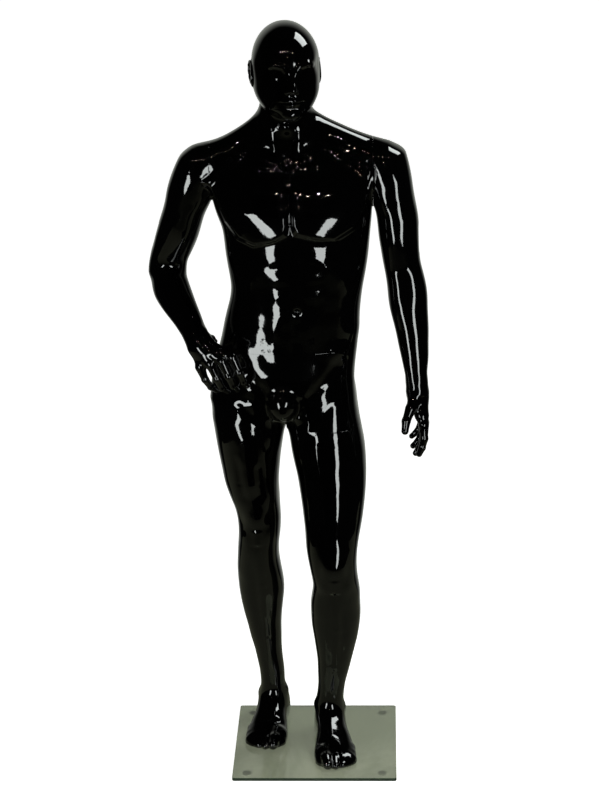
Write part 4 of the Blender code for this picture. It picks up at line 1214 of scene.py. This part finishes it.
def zinc_steel():
    """Bright zinc plate with fine turning marks and duller spots."""
    made = Material("zinc_steel", Metallic=1.0)
    bloom = made.noise(60.0, 3.0, 0.55)
    made.tint(bloom, (0.35, (0.46, 0.47, 0.47)), (0.65, (0.66, 0.66, 0.63)))
    made.drive("Roughness", made.spread(bloom, 0.24, 0.42))
    made.bump(made.noise(900.0, 2.0, 0.6, (1.0, 1.0, 0.06)), 0.00004)
    return made.material


def laminate():
    """Glass-fibre laminate as it leaves the mould: dark resin with the mat's fibres showing."""
    made = Material("laminate", Specular_IOR_Level=0.4)
    warp, weft = made.noise(260.0, 2.0, 0.6, (1.0, 0.16, 1.0)), made.noise(240.0, 2.0, 0.6, (0.16, 1.0, 1.0))
    fibres = made.combined("ADD", warp, weft)
    bare = made.spread(fibres, 0.0, 1.0, 0.75, 1.3)
    made.tint(bare, (0.0, (0.018, 0.018, 0.018)), (1.0, (0.095, 0.092, 0.084)))
    made.drive("Roughness", made.spread(fibres, 0.40, 0.72, 0.75, 1.3))
    made.bump(fibres, 0.0003)
    return made.material


def rubber(name, colour):
    made = Material(name, Specular_IOR_Level=0.35)
    grain = made.noise(700.0, 3.0)
    made.tint(made.noise(120.0), (0.3, [0.85 * part for part in colour]), (0.7, colour))
    made.drive("Roughness", made.spread(grain, 0.45, 0.68))
    made.bump(grain, 0.00005)
    return made.material


GLOSS_BLACK = gloss_black()
GLASS, STEEL, LAMINATE = base_glass(), zinc_steel(), laminate()
PAD_RUBBER = rubber("clear_rubber", (0.50, 0.52, 0.50))
WASHER_RUBBER = rubber("washer_rubber", (0.03, 0.03, 0.03))


def look_of(node):
    if node == "glass_base":
        return GLASS
    if node.startswith("base_pad"):
        return PAD_RUBBER
    if node == "rod_washer":
        return WASHER_RUBBER
    if "_lid_" in node:
        return LAMINATE
    return STEEL


def dress_frame():
    """The frame's own parts keep their shapes and take the finished materials."""
    for name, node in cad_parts.items():
        if name.endswith("_shell"):
            continue
        node.data.materials.clear()
        node.data.materials.append(look_of(name))


# Pieces: the boxes that each is meshed in, and each wrist's place and the way its hand points

TRUNK_BOX = ((-0.200, -0.08, 1.022), (0.225, 0.25, 1.590))
HEAD_BOX = ((-0.125, -0.105, 1.558), (0.130, 0.185, 1.830))
HIPS_BOX = ((-0.215, -0.08, 0.138), (0.200, 0.27, 1.040))
RIGHT_FOOT_BOX = ((-0.150, -0.085, 0.006), (0.010, 0.225, 0.162))
LEFT_LEG_BOX = ((-0.020, -0.15, 0.138), (0.215, 0.24, 0.846))
LEFT_FOOT_BOX = ((0.010, -0.200, 0.006), (0.190, 0.130, 0.162))
RIGHT_ARM_BOX = ((-0.370, -0.040, 1.035), (-0.165, 0.240, 1.545))
LEFT_ARM_BOX = ((0.195, -0.040, 0.925), (0.365, 0.190, 1.550))
HAND_MARGIN = 0.045
WRISTS = {"right": (RIGHT_WRIST, FOREARM_AXES[:, 2]), "left": (np.array(LEFT_WRIST), np.array((0, 0, -1.0)))}


def figure_on_rod(p):
    """The figure with the hole in its right sole for the rod."""
    found = figure(p)
    if p[:, 2].min() > ROD_HOLE_TOP + NEAR_FINE:
        return found
    away = np.sqrt((p[:, 0] - ROD_AT[0]) ** 2 + (p[:, 1] - ROD_AT[1]) ** 2) - ROD_HOLE
    bore = np.maximum(away, p[:, 2] - ROD_HOLE_TOP)
    return np.maximum(found, -bore)


def level_cut(z, side, gap=SEAM_HALF_GAP):
    """A level seam. Side 1 keeps what is below it, and -1 what is above."""
    return Cut((0, 0, z - side * gap), (0, 0, side))


def side_cut(x, side, gap=SEAM_HALF_GAP):
    """An upright seam across X. Side 1 keeps what is on the figure's right, and -1 what is on its left."""
    return Cut((x - side * gap, 0, 0), (side, 0, 0))


def region_mesh(field, box, step, cuts, is_gone=None):
    points, quads = skin_mesh(field, *box, step)

    def beyond_any(place):
        return any(cut.beyond(place) for cut in cuts)

    return cut_mesh(points, quads, cuts, is_gone or beyond_any)


def joined_regions(regions):
    """One bmesh out of several, meshed in different finenesses up to a shared plane."""
    bm = regions[0]
    for other in regions[1:]:
        mesh = bpy.data.meshes.new("region")
        other.to_mesh(mesh)
        other.free()
        bm.from_mesh(mesh)
        bpy.data.meshes.remove(mesh)
    return bm


def rim_places(vert, out, seams):
    """Where the rim goes from an edge point of the skin: across its seam, and then back into the piece."""
    here = [(cut, bore) for cut, bore in seams if cut.holds(vert)]
    way = -Vector(out)
    back = Vector((0, 0, 0))
    for cut, _ in here:
        way -= way.dot(cut.normal) * cut.normal
        back -= cut.normal
    step = way.normalized() * RIM_DEPTH
    if here and here[0][1] is not None:
        cut, (centre, radius) = here[0]
        spoke = vert.co - centre
        spoke -= spoke.dot(cut.normal) * cut.normal
        step = spoke.normalized() * (radius - spoke.length)
    return vert.co + step, vert.co + step + back.normalized() * RIM_RETURN


def add_rims(bm, field, seams):
    """Turns the skin's edge in at each seam. A seam is a cut, and the centre and radius of the bore where its
    rim ends, or None."""

    def on_seam(edge):
        return any(all(cut.holds(v) for v in edge.verts) for cut, _ in seams)

    edges = [e for e in bm.edges if e.is_boundary and on_seam(e)]
    verts = list({v for e in edges for v in e.verts})
    slope = gradient_of(field, np.array([v.co for v in verts]))
    inner, deep = {}, {}
    for vert, out in zip(verts, slope):
        across, back = rim_places(vert, out, seams)
        inner[vert], deep[vert] = bm.verts.new(across), bm.verts.new(back)
    for edge in edges:
        loop = edge.link_loops[0]
        a, b = loop.vert, loop.link_loop_next.vert
        bm.faces.new((b, a, inner[a], inner[b]))
        bm.faces.new((inner[b], inner[a], deep[a], deep[b]))


def read_from(collection, name, width, kind):
    values = np.empty(len(collection) * width, kind)
    collection.foreach_get(name, values)
    return values.reshape(-1, width)


def shade_from_field(mesh, field, skin_faces):
    """Exact normals on the skin, and flat ones on the rims."""
    points = read_from(mesh.vertices, "co", 3, float)
    corner = read_from(mesh.loops, "vertex_index", 1, int)[:, 0]
    sizes = read_from(mesh.polygons, "loop_total", 1, int)[:, 0]
    flat = read_from(mesh.polygons, "normal", 3, float)
    slope = gradient_of(lambda p: in_chunks(field, p), points)
    slope /= np.maximum(np.linalg.norm(slope, axis=1, keepdims=True), 1e-9)
    face = np.repeat(np.arange(len(sizes)), sizes)
    normals = np.where((face < skin_faces)[:, None], slope[corner], flat[face])
    mesh.shade_smooth()
    mesh.normals_split_custom_set(normals.tolist())


def make_skin(name, field, regions, seams, body, nodes):
    """A finished piece of the figure: its skin, its rims, its place in the frame."""
    bm = joined_regions(regions)
    skin_faces = len(bm.faces)
    add_rims(bm, field, seams)
    mesh = bpy.data.meshes.new(name)
    bm.to_mesh(mesh)
    bm.free()
    shade_from_field(mesh, field, skin_faces)
    piece = bpy.data.objects.new(name, mesh)
    bpy.context.scene.collection.objects.link(piece)
    mesh.materials.append(GLOSS_BLACK)
    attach(piece, body)
    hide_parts(*nodes)
    return piece


def open_seams(*cuts):
    return [(cut, None) for cut in cuts]


def make_upper_body():
    seams = [level_cut(WAIST_Z, -1), side_cut(RIGHT_SHOULDER_X, -1), side_cut(LEFT_SHOULDER_X, 1)]
    trunk = region_mesh(figure, TRUNK_BOX, BODY_STEP, [*seams, level_cut(NECK_Z, 1, 0)])
    head = region_mesh(figure, HEAD_BOX, HEAD_STEP, [level_cut(NECK_Z, -1, 0)])
    seams = open_seams(*seams)
    make_skin("upper_body_skin", figure, [trunk, head], seams, "upper_body", ["upper_body_shell"])


def make_lower_body():
    waist, thigh, apart = level_cut(WAIST_Z, 1), level_cut(THIGH_Z, -1), side_cut(LEGS_APART_X, 1, 0)
    ankle = level_cut(ANKLE_Z, -1, 0)

    def is_gone(place):
        return waist.beyond(place) or ankle.beyond(place) or (thigh.beyond(place) and apart.beyond(place))

    hips = region_mesh(figure, HIPS_BOX, BODY_STEP, [waist, thigh, apart, ankle], is_gone)
    foot = region_mesh(figure_on_rod, RIGHT_FOOT_BOX, FOOT_STEP, [level_cut(ANKLE_Z, 1, 0), apart])
    seams = open_seams(waist, thigh, apart)
    make_skin("lower_body_skin", figure_on_rod, [hips, foot], seams, "lower_body", ["lower_body_shell"])


def make_left_leg():
    seams = [level_cut(THIGH_Z, 1), side_cut(LEGS_APART_X + TURN_CLEARANCE, -1, 0)]
    leg = region_mesh(figure, LEFT_LEG_BOX, BODY_STEP, [*seams, level_cut(ANKLE_Z, -1, 0)])
    foot = region_mesh(figure, LEFT_FOOT_BOX, FOOT_STEP, [level_cut(ANKLE_Z, 1, 0)])
    make_skin("left_leg_skin", figure, [leg, foot], open_seams(*seams), "left_leg", ["left_leg_shell"])


def make_arm(side, palm, box, shoulder, *others):
    wrist, line = WRISTS[side]
    end = Cut(wrist - line * SEAM_HALF_GAP, line)
    field = arm_field(palm)
    arm = region_mesh(field, box, ARM_STEP, [shoulder, end, *others])
    seams = [(shoulder, None), (end, (Vector(wrist), WRIST_BORE))]
    make_skin(f"{side}_arm_skin", field, [arm], seams, f"{side}_arm", [f"{side}_arm_shell"])


def make_hand(side, palm, digits, arm_form):
    wrist, line = WRISTS[side]
    start = Cut(wrist + line * SEAM_HALF_GAP, -line)
    field = hand_field(palm, digits, arm_form)
    points = np.vstack((metres([p for digit in digits for p, _ in digit]), wrist))
    box = (points.min(0) - HAND_MARGIN, points.max(0) + HAND_MARGIN)
    hand = region_mesh(field, box, HAND_STEP, [start])
    seams = [(start, (Vector(wrist), WRIST_BORE))]
    make_skin(f"{side}_hand_skin", field, [hand], seams, f"{side}_hand", [f"{side}_hand_shell"])


# Camera, light and floor

CAMERA_AT = Vector((0.231, -5.633, 2.857))
CAMERA_YAW, CAMERA_PITCH, CAMERA_ROLL = -0.036, 0.332, -0.016
CAMERA_LENS, SENSOR, CAMERA_CLIP = 112.5, 36.0, 60
SOFTBOX_TINT, LAMP_TINT, ODD_LAMP_TINT = (0.95, 1.0, 0.985), (1.0, 0.84, 0.68), (1.0, 0.80, 0.92)
SOFTBOXES = (
    ("softbox_right", (1.12, -2.27, 0.94), (0.0, 0.0, 1.15), 0.44, 1.28, 7.4),
    ("softbox_left", (-1.20, -2.27, 0.80), (0.0, 0.0, 1.15), 0.44, 1.42, 7.9),
    ("softbox_top", (1.7, 0.5, 3.6), (0.0, 0.0, 1.4), 1.6, 1.15, 8.2),
)
LAMPS = ((-1.30, -2.6, 3.2), (-0.90, -3.0, 3.4), (-0.50, -2.5, 3.3), (-0.12, -3.2, 3.4), (0.20, -2.6, 3.3),
         (0.56, -3.1, 3.4), (0.95, -2.6, 3.3), (1.35, -3.0, 3.2), (0.04, -3.6, 2.6))
LAMP_TARGET, LAMP_SIZE, LAMP_RADIANCE = (0.0, 0.0, 1.3), 0.030, 300.0
FLAGS = (
    ("thigh_flag", (0.025, -0.40, 0.63), 0.195, 0.21),
    ("face_flag", (-0.165, -0.35, 1.522), 0.105, 0.138),
    ("neck_flag", (0.18, -0.35, 1.420), 0.10, 0.035),
)


def make_camera():
    flat = math.cos(CAMERA_PITCH)
    ahead = Vector((math.sin(CAMERA_YAW) * flat, math.cos(CAMERA_YAW) * flat, -math.sin(CAMERA_PITCH)))
    level = Vector((math.cos(CAMERA_YAW), -math.sin(CAMERA_YAW), 0))
    up = level.cross(ahead)
    c, s = math.cos(CAMERA_ROLL), math.sin(CAMERA_ROLL)
    camera = bpy.data.objects.new("camera", bpy.data.cameras.new("camera"))
    camera.data.lens = CAMERA_LENS
    camera.data.sensor_width = SENSOR
    camera.data.clip_end = CAMERA_CLIP
    camera.rotation_mode = "QUATERNION"
    camera.location = CAMERA_AT
    turn = Matrix((c * level + s * up, c * up - s * level, -ahead)).transposed()
    camera.rotation_quaternion = turn.to_quaternion()
    bpy.context.scene.collection.objects.link(camera)
    bpy.context.scene.camera = camera


def add_softbox(name, place, target, width, height, radiance, colour):
    data = bpy.data.lights.new(name, "AREA")
    data.shape = "RECTANGLE"
    data.size, data.size_y = width, height
    data.energy = radiance * math.pi * width * height
    data.color = colour
    light = bpy.data.objects.new(name, data)
    light.location = place
    light.rotation_mode = "QUATERNION"
    light.rotation_quaternion = (Vector(target) - Vector(place)).to_track_quat("-Z", "Z")
    bpy.context.scene.collection.objects.link(light)


def make_lights():
    for softbox in SOFTBOXES:
        add_softbox(*softbox, SOFTBOX_TINT)
    for number, place in enumerate(LAMPS):
        tint = LAMP_TINT if number % 3 else ODD_LAMP_TINT
        add_softbox(f"lamp_{number}", place, LAMP_TARGET, LAMP_SIZE, LAMP_SIZE, LAMP_RADIANCE, tint)


def make_world():
    """White to the camera and behind the figure, and a dark room in front of it."""
    world = bpy.data.worlds.new("studio")
    bpy.context.scene.world = world
    world.use_nodes = True
    tree = world.node_tree
    tree.nodes.clear()
    place = add_node(tree, "TexCoord", {}).outputs["Generated"]
    depth = add_node(tree, "SeparateXYZ", {"Vector": place}).outputs["Y"]
    behind = smooth_range(tree, depth, 0.55, 0.95, 0.003, 0.42)
    room = add_node(tree, "Background", {"Color": (0.93, 0.97, 0.88, 1), "Strength": behind})
    white = add_node(tree, "Background", {"Color": (1, 1, 1, 1), "Strength": 1.0})
    seen = add_node(tree, "LightPath", {}).outputs["Is Camera Ray"]
    mixed = add_node(tree, "MixShader", {"Fac": seen, 1: room.outputs[0], 2: white.outputs[0]})
    add_node(tree, "OutputWorld", {"Surface": mixed.outputs[0]})


def staged_sheet(name, low, high, height, material):
    """A flat rectangle between two corners, as part of the studio."""
    bm = bmesh.new()
    (x0, y0), (x1, y1) = low, high
    bm.faces.new([bm.verts.new((x, y, height)) for x, y in ((x0, y0), (x1, y0), (x1, y1), (x0, y1))])
    mesh = bpy.data.meshes.new(name)
    bm.to_mesh(mesh)
    bm.free()
    mesh.materials.append(material)
    sheet = bpy.data.objects.new(name, mesh)
    bpy.context.scene.collection.objects.link(sheet)
    return sheet


def make_flags():
    """Black cards that keep each softbox off the far thigh, the one on the figure's right off its face, and
    the one on its left off its neck."""
    made = Material("black_card", Roughness=0.9, Specular_IOR_Level=0.0)
    made.tint(made.noise(3.0), (0.3, (0.0010, 0.0010, 0.0010)), (0.7, (0.0016, 0.0016, 0.0015)))
    for name, place, half_width, half_height in FLAGS:
        low, high = (-half_width, -half_height), (half_width, half_height)
        card = staged_sheet(name, low, high, 0.0, made.material)
        card.rotation_euler = (math.radians(90), 0, 0)
        card.location = place
        card.visible_camera = False


def make_floor():
    """A white floor for the camera, and a glowing sheet by the feet, hidden from it, that the gloss mirrors.
    """
    made = Material("studio_floor", Roughness=0.8, Specular_IOR_Level=0.1, Emission_Color=(1.0, 1.0, 1.0, 1),
                    Emission_Strength=1.0)
    made.tint(made.noise(0.8), (0.3, (0.78, 0.80, 0.74)), (0.7, (0.80, 0.82, 0.76)))
    staged_sheet("floor", (-6.0, -1.4), (6.0, 12.0), 0.0, made.material).visible_glossy = False
    # Painted light: the sheet glows as light off the floor, brightest by the feet and fading towards the
    # front.
    glow = (0.95, 1.0, 0.70, 1)
    dim = Material("floor_glow_sheet", Roughness=0.9, Specular_IOR_Level=0.0, Emission_Color=glow)
    dim.tint(dim.noise(3.0), (0.3, (0.02, 0.02, 0.015)), (0.7, (0.03, 0.03, 0.02)))
    dim.drive("Emission Strength", dim.spread(dim.along_y(), 0.0, 0.085, -1.9, 0.1))
    staged_sheet("floor_glow_sheet", (-2.0, -2.4), (2.0, 0.6), -0.002, dim.material).visible_camera = False


make_camera()
make_world()
make_lights()
make_floor()
make_flags()
dress_frame()
make_upper_body()
make_lower_body()
make_left_leg()
make_arm("right", RIGHT_PALM, RIGHT_ARM_BOX, side_cut(RIGHT_SHOULDER_X, 1), level_cut(WAIST_Z, -1))
make_arm("left", LEFT_PALM, LEFT_ARM_BOX, side_cut(LEFT_SHOULDER_X, -1))
make_hand("right", RIGHT_PALM, RIGHT_DIGITS, forearm)
make_hand("left", LEFT_PALM, LEFT_DIGITS, left_arm)
bpy.context.scene.view_settings.view_transform = "Standard"
